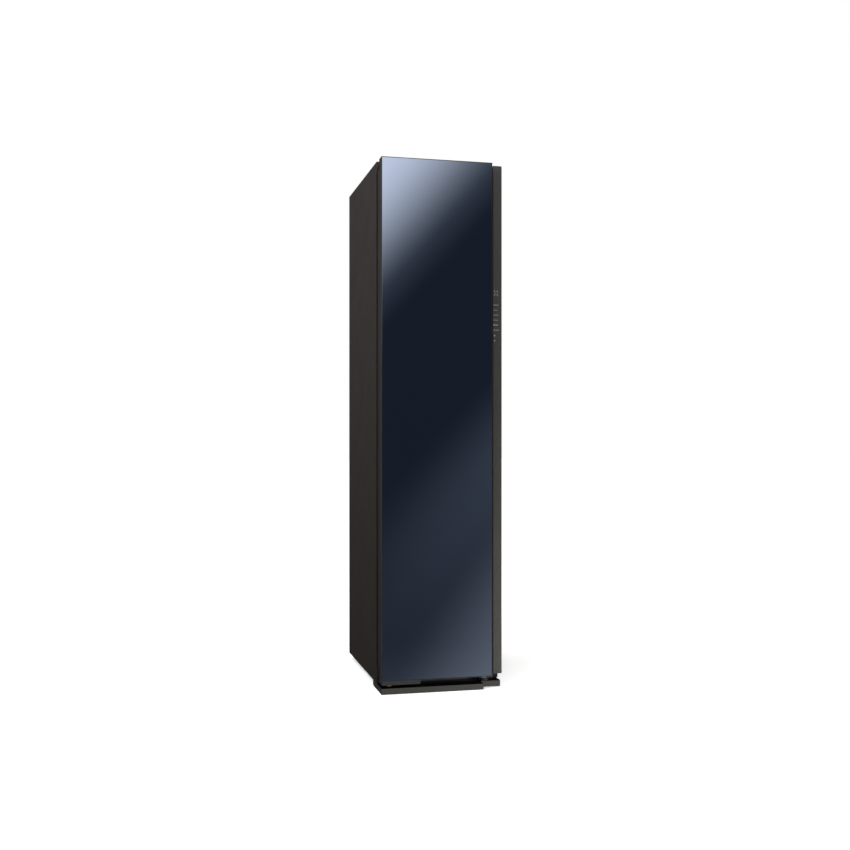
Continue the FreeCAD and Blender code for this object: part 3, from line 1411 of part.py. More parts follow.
MAKE = {
    "side_panel_left": side_panel_left,
    "side_panel_right": side_panel_right,
    "top_cover": top_cover,
    "rear_panel": rear_panel,
    "rear_grille": rear_grille,
    "base_pan": base_pan,
    "base_cover": base_cover,
    "front_base_rail": front_base_rail,
    "front_foot_left": lambda: front_foot(-foot_x),
    "front_foot_right": lambda: front_foot(foot_x),
    "foot_wheel_left": lambda: foot_wheel(-foot_x),
    "foot_wheel_right": lambda: foot_wheel(foot_x),
    "rear_feet": rear_feet,
    "front_frame": front_frame,
    "wall_insulation": wall_insulation,
    "cavity_liner": cavity_liner,
    "cavity_floor": cavity_floor,
    "cavity_ceiling": cavity_ceiling,
    "light_lens": light_lens,
    "steam_nozzle": steam_nozzle,
    "hanger_left": lambda: hanger(hanger_places[0]),
    "hanger_middle": lambda: hanger(hanger_places[1]),
    "hanger_right": lambda: hanger(hanger_places[2]),
    "shelf": shelf,
    "lint_filter": lint_filter,
    "lint_mesh": lint_mesh,
    "tank_bay": tank_bay,
    "supply_tank": lambda: tank(-1),
    "supply_tank_cap": lambda: tank_cap(-1),
    "drain_tank": lambda: tank(1),
    "drain_tank_cap": lambda: tank_cap(1),
    "jet_housing": jet_housing,
    "jet_fan": jet_fan,
    "rear_duct": rear_duct,
    "machine_deck": machine_deck,
    "heat_exchangers": heat_exchangers,
    "heat_pump_casing": heat_pump_casing,
    "process_fan": process_fan,
    "fan_motors": fan_motors,
    "compressor": compressor,
    "compressor_mounts": compressor_mounts,
    "steam_generator": steam_generator,
    "water_pumps": water_pumps,
    "water_hoses": water_hoses,
    "refrigerant_pipes": refrigerant_pipes,
    "control_board": control_board,
    "cord_inlet": cord_inlet,
    "upper_hinge": upper_hinge,
    "lower_hinge": lower_hinge,
    "lower_hinge_cover": lower_hinge_cover,
    "door_glass": door_glass,
    "door_panel_frame": door_panel_frame,
    "door_shell": door_shell,
    "door_insulation": door_insulation,
    "door_liner": door_liner,
    "door_gasket": door_gasket,
    "control_strip": control_strip,
    "control_pcb": control_pcb,
    "door_bushes": door_bushes,
}

os.makedirs("parts", exist_ok=True)
for node, make in MAKE.items():
    make().exportStep("parts/" + node + ".step")
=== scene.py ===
import json
import math

import bmesh
import bpy
from mathutils import Matrix, Vector


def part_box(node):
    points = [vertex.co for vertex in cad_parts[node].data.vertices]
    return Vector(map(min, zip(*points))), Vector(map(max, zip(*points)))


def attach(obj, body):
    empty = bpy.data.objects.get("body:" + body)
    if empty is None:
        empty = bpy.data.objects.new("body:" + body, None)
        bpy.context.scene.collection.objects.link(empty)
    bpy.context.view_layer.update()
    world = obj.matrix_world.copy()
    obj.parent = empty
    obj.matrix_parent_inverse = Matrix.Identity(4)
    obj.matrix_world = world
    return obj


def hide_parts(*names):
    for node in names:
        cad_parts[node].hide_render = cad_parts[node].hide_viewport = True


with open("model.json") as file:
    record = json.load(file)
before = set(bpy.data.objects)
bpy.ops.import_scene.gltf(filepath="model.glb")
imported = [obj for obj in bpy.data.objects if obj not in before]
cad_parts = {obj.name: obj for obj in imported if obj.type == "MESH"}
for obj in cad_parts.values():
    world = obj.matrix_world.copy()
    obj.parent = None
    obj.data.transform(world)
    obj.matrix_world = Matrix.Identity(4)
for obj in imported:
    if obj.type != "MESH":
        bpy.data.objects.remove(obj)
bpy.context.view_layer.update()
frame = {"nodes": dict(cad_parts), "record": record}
nodes = frame["nodes"]
scene = bpy.context.scene

MM = 0.001
MICRON = MM / 1000

# Colour changes within one node, each as the start and the end of its blend.
SEAL_SIDE = (197 * MM, 199 * MM)  # away from the middle, on the frame and the door's liner; painted black shade lies outside the seal's line
SEAL_TOP = (1803 * MM, 1805 * MM)
SEAL_FOOT = (90 * MM, 88 * MM)
FRAME_FOOT_SIDE = (205 * MM, 207 * MM)  # away from the middle, under the door; beyond this the frame's foot has black painted shade
FRAME_FOOT_TOP = (44 * MM, 42 * MM)
PLINTH_PALE_SIDE = (178 * MM, 184 * MM)  # away from the middle, between the feet; within it the plinth's top is paler near the cabinet's front than its black painted shade
PLINTH_PALE_REAR = (-262 * MM, -238 * MM)
# the hinge cover's back turns to black painted shade over this span
COVER_SHADE = (-250 * MM, -235 * MM)
BOSS_TOP = (28.9 * MM, 29.1 * MM)
DOOR_SHADE_BAND = -246.0 * MM  # the door's sides have black painted shade behind this

# Places on the hinges and the control strip.
DOOR_TOP = 1847.0 * MM
HINGE_ARM = 36.0 * MM
HINGE_PLATE_FACE = -229.5 * MM
HINGE_SCREW_XS = (-176.0 * MM, -136.0 * MM)
HINGE_SCREW_RISE = 10.0 * MM
HINGE_SCREW_RADIUS = 3.6 * MM
STRIP_FACE = -269.5 * MM
MARK_SUNK = 0.05 * MM
MARK_PROUD = 0.12 * MM


def srgb(red, green, blue):
    """A colour given in 0-255 display values, as the linear values that shaders use."""
    linear = []
    for value in (red, green, blue):
        share = value / 255
        linear.append(share / 12.92 if share <= 0.04045 else ((share + 0.055) / 1.055) ** 2.4)
    return tuple(linear)


# ---------------------------------------------------------------- shader building
class Shader:
    """A material's node tree, with short calls for the nodes that the finishes share."""

    def __init__(self, name):
        self.material = bpy.data.materials.new(name)
        self.material.use_nodes = True
        self.tree = self.material.node_tree
        self.bsdf = self.tree.nodes["Principled BSDF"]
        self.place = self.add("ShaderNodeTexCoord").outputs["Object"]

    def add(self, kind, **settings):
        """A new node of this kind, with its settings."""
        node = self.tree.nodes.new(kind)
        for key, value in settings.items():
            setattr(node, key, value)
        return node

    def feed(self, socket, value):
        """Links a socket to the input, or sets its number or colour."""
        if isinstance(value, bpy.types.NodeSocket):
            self.tree.links.new(value, socket)
        elif isinstance(value, tuple) and len(value) == 3 and socket.type == "RGBA":
            socket.default_value = (*value, 1.0)
        else:
            socket.default_value = value

    def set(self, **inputs):
        """Feeds the surface shader's inputs, by name."""
        for key, value in inputs.items():
            self.feed(self.bsdf.inputs[key.replace("_", " ")], value)

    def stretched(self, scale):
        """The object's coordinates, scaled along each axis."""
        mapping = self.add("ShaderNodeMapping")
        self.feed(mapping.inputs["Vector"], self.place)
        mapping.inputs["Scale"].default_value = scale
        return mapping.outputs["Vector"]

    def noise(self, scale, detail=3.0, roughness=0.5, vector=None):
        node = self.add("ShaderNodeTexNoise")
        self.feed(node.inputs["Vector"], vector or self.place)
        node.inputs["Scale"].default_value = scale
        node.inputs["Detail"].default_value = detail
        node.inputs["Roughness"].default_value = roughness
        return node.outputs["Fac"]

    def cells(self, scale, feature="F1", output="Distance", vector=None):
        node = self.add("ShaderNodeTexVoronoi", feature=feature)
        self.feed(node.inputs["Vector"], vector or self.place)
        node.inputs["Scale"].default_value = scale
        return node.outputs[output]

    def span(self, value, low, high, start=0.0, end=1.0, smooth=False):
        """Start where the value is at low, end where it is at high, and a blend between."""
        node = self.add("ShaderNodeMapRange", clamp=True)
        node.interpolation_type = "SMOOTHSTEP" if smooth else "LINEAR"
        self.feed(node.inputs["Value"], value)
        for key, number in (("From Min", low), ("From Max", high), ("To Min", start), ("To Max", end)):
            node.inputs[key].default_value = number
        return node.outputs["Result"]

    def math(self, operation, first, second=0.0, third=None):
        node = self.add("ShaderNodeMath", operation=operation)
        self.feed(node.inputs[0], first)
        self.feed(node.inputs[1], second)
        if third is not None:
            self.feed(node.inputs[2], third)
        return node.outputs[0]

    def mix(self, share, first, second, blend="MIX"):
        node = self.add("ShaderNodeMix", data_type="RGBA", blend_type=blend)
        self.feed(node.inputs["Factor"], share)
        self.feed(node.inputs[6], first)
        self.feed(node.inputs[7], second)
        return node.outputs[2]

    def axes(self, source=None):
        node = self.add("ShaderNodeSeparateXYZ")
        self.feed(node.inputs[0], source or self.place)
        return node.outputs

    def bump(self, height, distance, strength=1.0, normal=None):
        node = self.add("ShaderNodeBump")
        node.inputs["Strength"].default_value = strength
        node.inputs["Distance"].default_value = distance
        self.feed(node.inputs["Height"], height)
        if normal is not None:
            self.feed(node.inputs["Normal"], normal)
        return node.outputs["Normal"]

    def soft_edges(self, radius):
        node = self.add("ShaderNodeBevel", samples=4)
        node.inputs["Radius"].default_value = radius
        return node.outputs["Normal"]

    def tone(self, colour, amount, scale):
        """The colour, a little lighter and darker in soft patches."""
        patches = self.span(self.noise(scale, 4.0, 0.55), 0.3, 0.7)
        darker = tuple(channel * (1 - amount) for channel in colour)
        lighter = tuple(channel * (1 + amount) for channel in colour)
        return self.mix(patches, darker, lighter)


# ---------------------------------------------------------------- finishes
BASE_COLOUR = {entry["slot"]: tuple(entry["base_color"]) for entry in frame["record"]["materials"]}


def speckled(s, colour, grains):
    """The colour, a little lighter and darker with a moulding's grain."""
    return s.mix(1.0, colour, grey(s, s.span(grains, 0.3, 0.7, 0.96, 1.04)), "MULTIPLY")


def painted(slot, colour, roughness=0.42, edge=0.12, front_shade_colour=None, shade_band=None):
    """Sprayed steel: orange peel, faint handling marks and slightly rubbed edges.

    The colour given for faces that look forward is painted shade, and all behind the given band is painted
    black shade.
    """
    s = Shader(slot)
    worn = edge_mask(s, 1.2 * MM)
    rubbed = tuple(min(1.0, channel * 2.2 + 0.02) for channel in colour)
    body = s.mix(s.math("MULTIPLY", worn, edge), s.tone(colour, 0.05, 5.0), rubbed)
    speck = s.span(s.noise(2600.0, 2.0), 0.35, 0.65, 0.94, 1.06)
    body = s.mix(1.0, body, grey(s, speck), "MULTIPLY")
    # painted shade on faces that look forward
    if front_shade_colour:
        normal = s.add("ShaderNodeNewGeometry").outputs["True Normal"]
        body = s.mix(s.span(s.axes(normal)[1], -0.85, -0.95), body, front_shade_colour)
    # painted shade: black behind the band
    if shade_band:
        body = s.mix(s.span(s.axes()[1], shade_band - 0.5 * MM, shade_band), body, SHADE_BLACK)
    handled = s.span(s.noise(9.0, 5.0, 0.6), 0.35, 0.75, -0.04, 0.06)
    s.set(Base_Color=body, Roughness=s.math("ADD", handled, roughness))
    s.set(Normal=s.bump(s.noise(900.0, 2.0), 18 * MICRON, 1.0, s.soft_edges(0.6 * MM)))
    return s.material


def moulded(slot, colour, roughness, grain=25 * MICRON):
    """Injection-moulded plastic with a fine spark-eroded grain and soft sheen changes."""
    s = Shader(slot)
    grains = s.noise(1600.0, 3.0, 0.6)
    sheen = s.span(s.noise(14.0, 4.0), 0.3, 0.7, -0.05, 0.05)
    s.set(Base_Color=speckled(s, s.tone(colour, 0.03, 7.0), grains))
    s.set(Roughness=s.math("ADD", sheen, roughness))
    s.set(Normal=s.bump(grains, grain, 0.8, s.soft_edges(0.5 * MM)))
    return s.material


def glossy_plastic(slot, colour, roughness):
    """Polished plastic: a slow surface ripple and hairline haze."""
    s = Shader(slot)
    hair = s.noise(60.0, 6.0, 0.7, s.stretched((1.0, 1.0, 14.0)))
    s.set(Base_Color=s.tone(colour, 0.04, 6.0), Roughness=s.span(hair, 0.3, 0.8, roughness, roughness + 0.05))
    s.set(Normal=s.bump(s.noise(22.0, 2.0), 30 * MICRON, 0.5, s.soft_edges(0.4 * MM)))
    return s.material


def galvanised(slot, colour, darkest=0.9, metallic=0.75):
    """Zinc-coated sheet with spangles of slightly different brightness and lie."""
    s = Shader(slot)
    spangle = s.cells(170.0, output="Color")
    level = s.axes(spangle)[0]
    body = s.mix(level, tuple(c * darkest for c in colour), tuple(min(1.0, c * 1.06) for c in colour))
    dusty = s.span(s.noise(4.0, 5.0, 0.6), 0.4, 0.75, 0.0, 0.25)
    body = s.mix(dusty, body, tuple(c * 0.8 + 0.03 for c in colour))
    s.set(Base_Color=body, Metallic=metallic, Roughness=s.span(level, 0.0, 1.0, 0.38, 0.5))
    s.set(Normal=s.bump(s.noise(400.0, 3.0), 8 * MICRON, 0.6))
    return s.material


def brushed(slot, colour, roughness=0.34, along=(1.0, 1.0, 0.03), metallic=0.85):
    """Metal with fine drawn lines."""
    s = Shader(slot)
    lines = s.noise(2400.0, 3.0, 0.6, s.stretched(along))
    shade = s.span(lines, 0.3, 0.7, 0.86, 1.1)
    s.set(Base_Color=s.mix(1.0, s.tone(colour, 0.05, 12.0), grey(s, shade), "MULTIPLY"), Metallic=metallic)
    s.set(Roughness=s.span(lines, 0.2, 0.8, roughness - 0.06, roughness + 0.1))
    s.set(Normal=s.bump(lines, 6 * MICRON, 0.6, s.soft_edges(0.3 * MM)))
    return s.material


def rubber(slot, colour):
    """Soft black moulding with bloom and a dusty grain."""
    s = Shader(slot)
    bloom = s.span(s.noise(30.0, 5.0, 0.65), 0.42, 0.75)
    pale = tuple(c + 0.035 for c in colour)
    s.set(Base_Color=s.mix(s.math("MULTIPLY", bloom, 0.5), colour, pale), Roughness=0.7)
    s.set(Normal=s.bump(s.noise(1900.0, 3.0), 20 * MICRON, 0.7))
    return s.material


def foam(slot, colour):
    """Cut foam, pitted by its open cells."""
    s = Shader(slot)
    bubbles = s.cells(420.0)
    pits = s.span(bubbles, 0.0, 0.6, 0.75, 1.0)
    s.set(Base_Color=s.mix(1.0, s.tone(colour, 0.08, 10.0), grey(s, pits), "MULTIPLY"), Roughness=0.95)
    s.set(Normal=s.bump(bubbles, 0.4 * MM, 0.8))
    return s.material


def clear_plastic(slot, colour):
    """Milky plastic that lets a little light through, cloudier in patches."""
    s = Shader(slot)
    cloud = s.span(s.noise(26.0, 4.0), 0.3, 0.7, 0.3, 0.42)
    s.set(Base_Color=s.tone(colour, 0.05, 9.0), Roughness=cloud, IOR=1.49, Transmission_Weight=0.15)
    s.set(Normal=s.bump(s.noise(60.0, 2.0), 20 * MICRON, 0.3))
    return s.material


def lamp_lens(slot, colour):
    """Opal lens with fine ribs along its length."""
    s = Shader(slot)
    ribs = s.add("ShaderNodeTexWave", wave_type="BANDS", bands_direction="Y")
    s.feed(ribs.inputs["Vector"], s.place)
    ribs.inputs["Scale"].default_value = 120.0
    s.set(Base_Color=s.tone(colour, 0.03, 20.0), Roughness=0.3, Transmission_Weight=0.3, IOR=1.49)
    s.set(Normal=s.bump(ribs.outputs["Fac"], 0.15 * MM, 0.6))
    return s.material


def circuit_board(slot, colour):
    """Green laminate with copper runs under the lacquer and bright pads."""
    s = Shader(slot)
    runs = s.cells(190.0, "DISTANCE_TO_EDGE")
    track = s.span(runs, 0.03, 0.06, 1.0, 0.0)
    pads = s.span(s.cells(140.0), 0.12, 0.16, 1.0, 0.0)
    lighter = tuple(min(1.0, c * 1.9 + 0.02) for c in colour)
    body = s.mix(track, s.tone(colour, 0.06, 30.0), lighter)
    s.set(Base_Color=s.mix(pads, body, (0.62, 0.58, 0.48)), Roughness=0.36, Coat_Weight=0.4)
    s.set(Normal=s.bump(track, 0.04 * MM, 0.7))
    return s.material


def tinted_mirror(slot, colour):
    """Silvered smoked glass: almost even, with a faint wipe haze."""
    s = Shader(slot)
    wiped = s.noise(3.2, 5.0, 0.6, s.stretched((2.5, 1.0, 1.0)))
    s.set(Base_Color=s.tone(colour, 0.012, 1.6), Metallic=1.0)
    s.set(Roughness=s.span(wiped, 0.35, 0.75, 0.02, 0.05))
    s.set(Normal=s.bump(s.noise(1.1, 1.0), 0.04 * MM, 0.4))
    return s.material


def plinth_moulding(slot, colour, top_painted_shading, rear_colour):
    """Moulded plastic with painted shade on its upward faces: black, but paler there between the feet, near
    the cabinet's front.
    """
    s = Shader(slot)
    grains = s.noise(1600.0, 3.0, 0.6)
    body = speckled(s, s.tone(colour, 0.03, 7.0), grains)
    normal = s.add("ShaderNodeNewGeometry").outputs["True Normal"]
    # painted shade: the upward faces are black, paler near the cabinet's front between the feet
    upward = s.span(s.axes(normal)[2], 0.75, 0.9)
    x, y, z = s.axes()
    between_feet = s.span(s.math("ABSOLUTE", x), *PLINTH_PALE_SIDE, 1.0, 0.0)
    rearward = s.math("MULTIPLY", s.span(y, *PLINTH_PALE_REAR), between_feet)
    s.set(Base_Color=s.mix(upward, body, s.mix(rearward, top_painted_shading, rear_colour)))
    s.set(Specular_IOR_Level=s.span(upward, 0.0, 1.0, 0.3, 0.1))
    s.set(Roughness=s.span(s.noise(14.0, 4.0), 0.3, 0.7, 0.42, 0.52))
    s.set(Normal=s.bump(grains, 25 * MICRON, 0.8, s.soft_edges(0.5 * MM)))
    return s.material


def frame_moulding(slot, colour, shade_colour, foot_shade_colour):
    """A moulded face with painted shade: black outside the seal's line, and a dark grey strip of painted
    shade at its foot under the door.
    """
    s = Shader(slot)
    x, y, z = s.axes()
    # painted shade: black outside the seal's line
    aside = s.span(s.math("ABSOLUTE", x), *SEAL_SIDE)
    above = s.span(z, *SEAL_TOP)
    below = s.span(z, *SEAL_FOOT)
    border = s.math("MAXIMUM", aside, s.math("MAXIMUM", above, below))
    grains = s.noise(1600.0, 3.0, 0.6)
    # painted shade at the foot under the door: dark grey towards the middle, black further out
    inward = s.span(s.math("ABSOLUTE", x), *FRAME_FOOT_SIDE, 1.0, 0.0)
    foot = s.math("MULTIPLY", s.span(z, *FRAME_FOOT_TOP), inward)
    outer = s.mix(foot, shade_colour, foot_shade_colour)
    tinted = s.mix(border, s.tone(colour, 0.04, 7.0), outer)
    s.set(Base_Color=speckled(s, tinted, grains))
    s.set(Roughness=s.span(s.noise(14.0, 4.0), 0.3, 0.7, 0.4, 0.5))
    s.set(Normal=s.bump(grains, 25 * MICRON, 0.8, s.soft_edges(0.5 * MM)))
    return s.material


def wheel_moulding(slot, colour, top_painted_shading):
    """A black knurled wheel with a painted highlight in pale grey on its upward face."""
    s = Shader(slot)
    normal = s.add("ShaderNodeNewGeometry").outputs["True Normal"]
    # painted highlight: the upward face is pale
    upward = s.span(s.axes(normal)[2], 0.85, 0.95)
    grains = s.noise(1600.0, 3.0, 0.6)
    s.set(Base_Color=s.mix(upward, s.tone(colour, 0.05, 40.0), s.tone(top_painted_shading, 0.06, 60.0)))
    s.set(Roughness=s.span(grains, 0.3, 0.7, 0.42, 0.55))
    s.set(Normal=s.bump(grains, 20 * MICRON, 0.8, s.soft_edges(0.4 * MM)))
    return s.material


def cover_moulding(slot, colour, boss_colour):
    """The hinge cover's grey plastic, with black painted shade at its back, and the pale end of its fixing
    below it.
    """
    s = Shader(slot)
    grains = s.noise(1600.0, 3.0, 0.6)
    x, y, z = s.axes()
    below = s.span(z, *BOSS_TOP, 1.0, 0.0)
    # painted shade: black at the cover's back
    shell = s.mix(s.span(y, *COVER_SHADE), s.tone(colour, 0.04, 9.0), SHADE_BLACK)
    s.set(Base_Color=s.mix(below, shell, s.tone(boss_colour, 0.05, 30.0)))
    s.set(Roughness=s.span(s.noise(20.0, 4.0), 0.3, 0.7, 0.4, 0.5))
    s.set(Normal=s.bump(grains, 20 * MICRON, 0.8, s.soft_edges(0.5 * MM)))
    return s.material


def grey(s, value):
    """One number as a grey colour."""
    node = s.add("ShaderNodeCombineColor")
    for socket in node.inputs:
        s.feed(socket, value)
    return node.outputs[0]


def edge_mask(s, radius):
    """1 along sharp edges, 0 on the flats."""
    node = s.add("ShaderNodeVectorMath", operation="DOT_PRODUCT")
    geometry = s.add("ShaderNodeNewGeometry")
    s.feed(node.inputs[0], s.soft_edges(radius))
    s.feed(node.inputs[1], geometry.outputs["True Normal"])
    return s.span(node.outputs["Value"], 0.72, 0.98, 1.0, 0.0)


CASING = srgb(50, 43, 40)
DOOR_SIDE = srgb(46, 42, 39)
BEZEL = srgb(48, 47, 48)
STRIP = srgb(63, 61, 58)
PLINTH = srgb(60, 58, 55)
# painted shade on the plinth's top under the door, and the paler grey it gives way to near the cabinet's
# front
PLINTH_TOP_SHADE = (0.003, 0.003, 0.003)
PLINTH_REAR = (0.045, 0.044, 0.042)
# painted shade: near-black for faces in the gaps beside, under and behind the door
SHADE_BLACK = srgb(6, 5, 5)
# painted shade at the frame's foot under the door
FRAME_FOOT_SHADE = srgb(52, 50, 49)
# painted highlight on the wheels' upward faces
WHEEL_HIGHLIGHT = (0.55, 0.52, 0.55)
COVER = srgb(50, 52, 52)
BOSS = srgb(112, 107, 93)
HINGE = srgb(34, 31, 30)
GLASS = (0.30, 0.34, 0.43)
PRINT = srgb(152, 152, 148)

FINISHES = {
    "casing_paint": lambda n, c: painted(n, CASING),
    "casing_rear": lambda n, c: galvanised(n, c, 0.92, 0.4),
    "black_plastic": lambda n, c: moulded(n, c, 0.5),
    "galvanised": galvanised,
    # painted shade on the plinth's top
    "base_plastic": lambda n, c: plinth_moulding(n, PLINTH, PLINTH_TOP_SHADE, PLINTH_REAR),
    "foot_steel": lambda n, c: brushed(n, c),
    # painted shade: black outside the seal's line, dark grey at the foot
    "frame_plastic": lambda n, c: frame_moulding(n, c, SHADE_BLACK, FRAME_FOOT_SHADE),
    "foam": foam,
    "liner_plastic": lambda n, c: moulded(n, c, 0.38, 12 * MICRON),
    "lens": lamp_lens,
    "dark_plastic": lambda n, c: moulded(n, c, 0.4),
    "hanger_plastic": lambda n, c: moulded(n, c, 0.36),
    "filter_plastic": lambda n, c: moulded(n, c, 0.4),
    "mesh": lambda n, c: brushed(n, c, 0.4),
    "tank_plastic": clear_plastic,
    "cap_plastic": lambda n, c: moulded(n, c, 0.35),
    "duct_plastic": lambda n, c: moulded(n, c, 0.55),
    "fan_plastic": lambda n, c: moulded(n, c, 0.45),
    "coil_aluminium": lambda n, c: brushed(n, c, 0.4, (0.03, 1.0, 1.0)),
    "motor_steel": brushed,
    "compressor_black": lambda n, c: painted(n, c, 0.28, edge=0.05),
    "mount_rubber": rubber,
    "boiler_plastic": lambda n, c: moulded(n, c, 0.45),
    "hose_rubber": rubber,
    "copper": lambda n, c: brushed(n, c, 0.3, (1.0, 1.0, 1.0), 1.0),
    "board": circuit_board,
    "hinge_steel": lambda n, c: painted(n, HINGE, 0.38),
    # painted shade at the cover's back
    "cover_grey": lambda n, c: cover_moulding(n, COVER, BOSS),
    "mirror": lambda n, c: tinted_mirror(n, GLASS),
    "panel_grey": lambda n, c: moulded(n, BEZEL, 0.4),
    # the door's sides get black painted shade at their back
    "door_paint": lambda n, c: painted(n, DOOR_SIDE, shade_band=DOOR_SHADE_BAND),
    "gasket_rubber": rubber,
    "strip_gloss": lambda n, c: glossy_plastic(n, STRIP, 0.24),
    "bush_plastic": lambda n, c: moulded(n, c, 0.5),
}
finish = {name: make(name + "_finish", BASE_COLOUR[name]) for name, make in FINISHES.items()}
for node in nodes.values():
    for place in node.material_slots:
        place.material = finish[place.material.name]
for place in nodes["upper_hinge"].material_slots:
    place.material = finish["casing_paint"]
# The side panels' forward faces get black painted shade, where they show beside the door.
side_finish = painted("side_panel_finish", CASING, front_shade_colour=SHADE_BLACK)
for side in ("left", "right"):
    for place in nodes["side_panel_" + side].material_slots:
        place.material = side_finish
# The door's liner gets black painted shade outside the seal's line and at its foot.
liner_finish = frame_moulding("door_liner_finish", BASE_COLOUR["dark_plastic"], SHADE_BLACK, SHADE_BLACK)
for place in nodes["door_liner"].material_slots:
    place.material = liner_finish
# The wheels' upward faces get a painted highlight.
wheel_finish = wheel_moulding("wheel_finish", BASE_COLOUR["black_plastic"], WHEEL_HIGHLIGHT)
for side in ("left", "right"):
    for place in nodes["foot_wheel_" + side].material_slots:
        place.material = wheel_finish


def round_edges(node, width, segments=3):
    """A moulding's sharp edges, softened by a small radius."""
    weld = nodes[node].modifiers.new("weld", "WELD")
    weld.merge_threshold = 0.01 * MM
    edge = nodes[node].modifiers.new("edges", "BEVEL")
    edge.width = width
    edge.segments = segments
    edge.limit_method = "ANGLE"
    edge.angle_limit = math.radians(40.0)
    edge.use_clamp_overlap = True
    edge.harden_normals = False


for hanger in ("hanger_left", "hanger_middle", "hanger_right"):
    round_edges(hanger, 2.0 * MM)


# ---------------------------------------------------------------- pieces
def piece(name, bm, slot, body, *replaced, material=None):
    """The bmesh as an object that rides on a body and has its slot's finish."""
    mesh = bpy.data.meshes.new(name)
    bmesh.ops.recalc_face_normals(bm, faces=bm.faces)
    bm.to_mesh(mesh)
    bm.free()
    mesh.materials.append(material or finish[slot])
    made = bpy.data.objects.new(name, mesh)
    scene.collection.objects.link(made)
    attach(made, body)
    if replaced:
        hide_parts(*replaced)
    return made


def smooth(made, angle=35.0):
    """Shades the faces as one surface, but for edges sharper than the angle."""
    made.data.shade_smooth()
    made.data.set_sharp_from_angle(angle=math.radians(angle))


def ring(bm, place, radius, height, steps):
    """The points of a circle about the place's own Z axis."""
    turn = 2 * math.pi / steps
    return [bm.verts.new(place @ Vector((radius * math.cos(i * turn), radius * math.sin(i * turn), height)))
            for i in range(steps)]


def join_rings(bm, first, second):
    """A band of faces between two closed loops."""
    count = len(first)
    for i in range(count):
        bm.faces.new((first[i], first[(i + 1) % count], second[(i + 1) % count], second[i]))


def outline_edges(bm, loop):
    """The edges round a closed loop, made where they are missing."""
    found = []
    for i, vert in enumerate(loop):
        other = loop[(i + 1) % len(loop)]
        found.append(bm.edges.get((vert, other)) or bm.edges.new((vert, other)))
    return found


def screw_head(bm, centre, out, radius, turned=0.3):
    """A pan head with a cross recess, pointing along out."""
    place = Matrix.Translation(centre) @ out.to_track_quat("Z", "X").to_matrix().to_4x4()
    place = place @ Matrix.Rotation(turned, 4, "Z")
    high = radius * 0.55
    steps = 24
    profile = [(1.0, 0.0), (1.0, 0.35), (0.93, 0.66), (0.8, 0.88), (0.62, 1.0)]
    rings = [ring(bm, place, radius * r, high * h, steps) for r, h in profile]
    bm.faces.new(rings[0])
    for first, second in zip(rings, rings[1:]):
        join_rings(bm, first, second)
    long, half = 0.46 * radius, 0.09 * radius
    cross = [(long, half), (half, half), (half, long), (-half, long), (-half, half), (-long, half),
             (-long, -half), (-half, -half), (-half, -long), (half, -long), (half, -half), (long, -half)]
    mouth = [bm.verts.new(place @ Vector((x, y, high))) for x, y in cross]
    floor_of_cross = [bm.verts.new(place @ Vector((0.62 * x, 0.62 * y, high * 0.35))) for x, y in cross]
    edges = outline_edges(bm, rings[-1]) + outline_edges(bm, mouth)
    bmesh.ops.triangle_fill(bm, use_beauty=True, edges=edges)
    join_rings(bm, mouth, floor_of_cross)
    bm.faces.new(floor_of_cross)


def hinge_screws(name, node):
    """Four screws in the face of a hinge's plate."""
    low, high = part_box(node)
    middle = (low.z + HINGE_ARM if node == "lower_hinge" else DOOR_TOP) - HINGE_ARM / 2
    bm = bmesh.new()
    for x in HINGE_SCREW_XS:
        for rise in (-HINGE_SCREW_RISE, HINGE_SCREW_RISE):
            centre = Vector((x, HINGE_PLATE_FACE, middle + rise))
            screw_head(bm, centre, Vector((0, -1, 0)), HINGE_SCREW_RADIUS)
    smooth(piece(name, bm, "foot_steel", "cabinet"))


hinge_screws("upper_hinge_screws", "upper_hinge")
hinge_screws("lower_hinge_screws", "lower_hinge")


def gasket():
    """The magnetic seal: a folded bellows with a flat magnet face, mitred at the door's corners."""
    low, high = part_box("door_gasket")
    width = 13.0 * MM
    deep = high.y - low.y
    middle = (low + high) / 2
    half_x = (high.x - low.x - width) / 2
    half_z = (high.z - low.z - width) / 2
    section_depth = 9.7
    section = [(-6.5, 0.0), (-6.5, 1.2), (-4.9, 1.9), (-5.7, 3.0), (-4.7, 4.2), (-5.7, 5.4), (-4.9, 6.5),
               (-6.0, 7.2), (-6.2, 9.0), (-5.6, section_depth), (5.6, section_depth), (6.2, 9.0), (6.0, 7.2),
               (4.9, 6.5), (5.7, 5.4), (4.7, 4.2), (5.7, 3.0), (4.9, 1.9), (6.5, 1.2), (6.5, 0.0)]
    bm = bmesh.new()
    loops = []
    for across, up in section:
        a = half_x + across * MM
        b = half_z + across * MM
        y = low.y + up * MM * deep / (section_depth * MM)
        corners = [(-a, -b), (a, -b), (a, b), (-a, b)]
        loops.append([bm.verts.new((middle.x + x, y, middle.z + z)) for x, z in corners])
    for first, second in zip(loops, loops[1:] + loops[:1]):
        join_rings(bm, first, second)
    smooth(piece("magnetic_gasket", bm, "gasket_rubber", "door", "door_gasket"), 50.0)


gasket()


def bar(bm, low, high):
    """A straight four-sided wire between two corners."""
    corners = [(x, y, z) for x in (low[0], high[0]) for y in (low[1], high[1]) for z in (low[2], high[2])]
    v = [bm.verts.new(c) for c in corners]
    for face in ((0, 1, 3, 2), (4, 6, 7, 5), (0, 4, 5, 1), (2, 3, 7, 6), (0, 2, 6, 4), (1, 5, 7, 3)):
        bm.faces.new([v[i] for i in face])


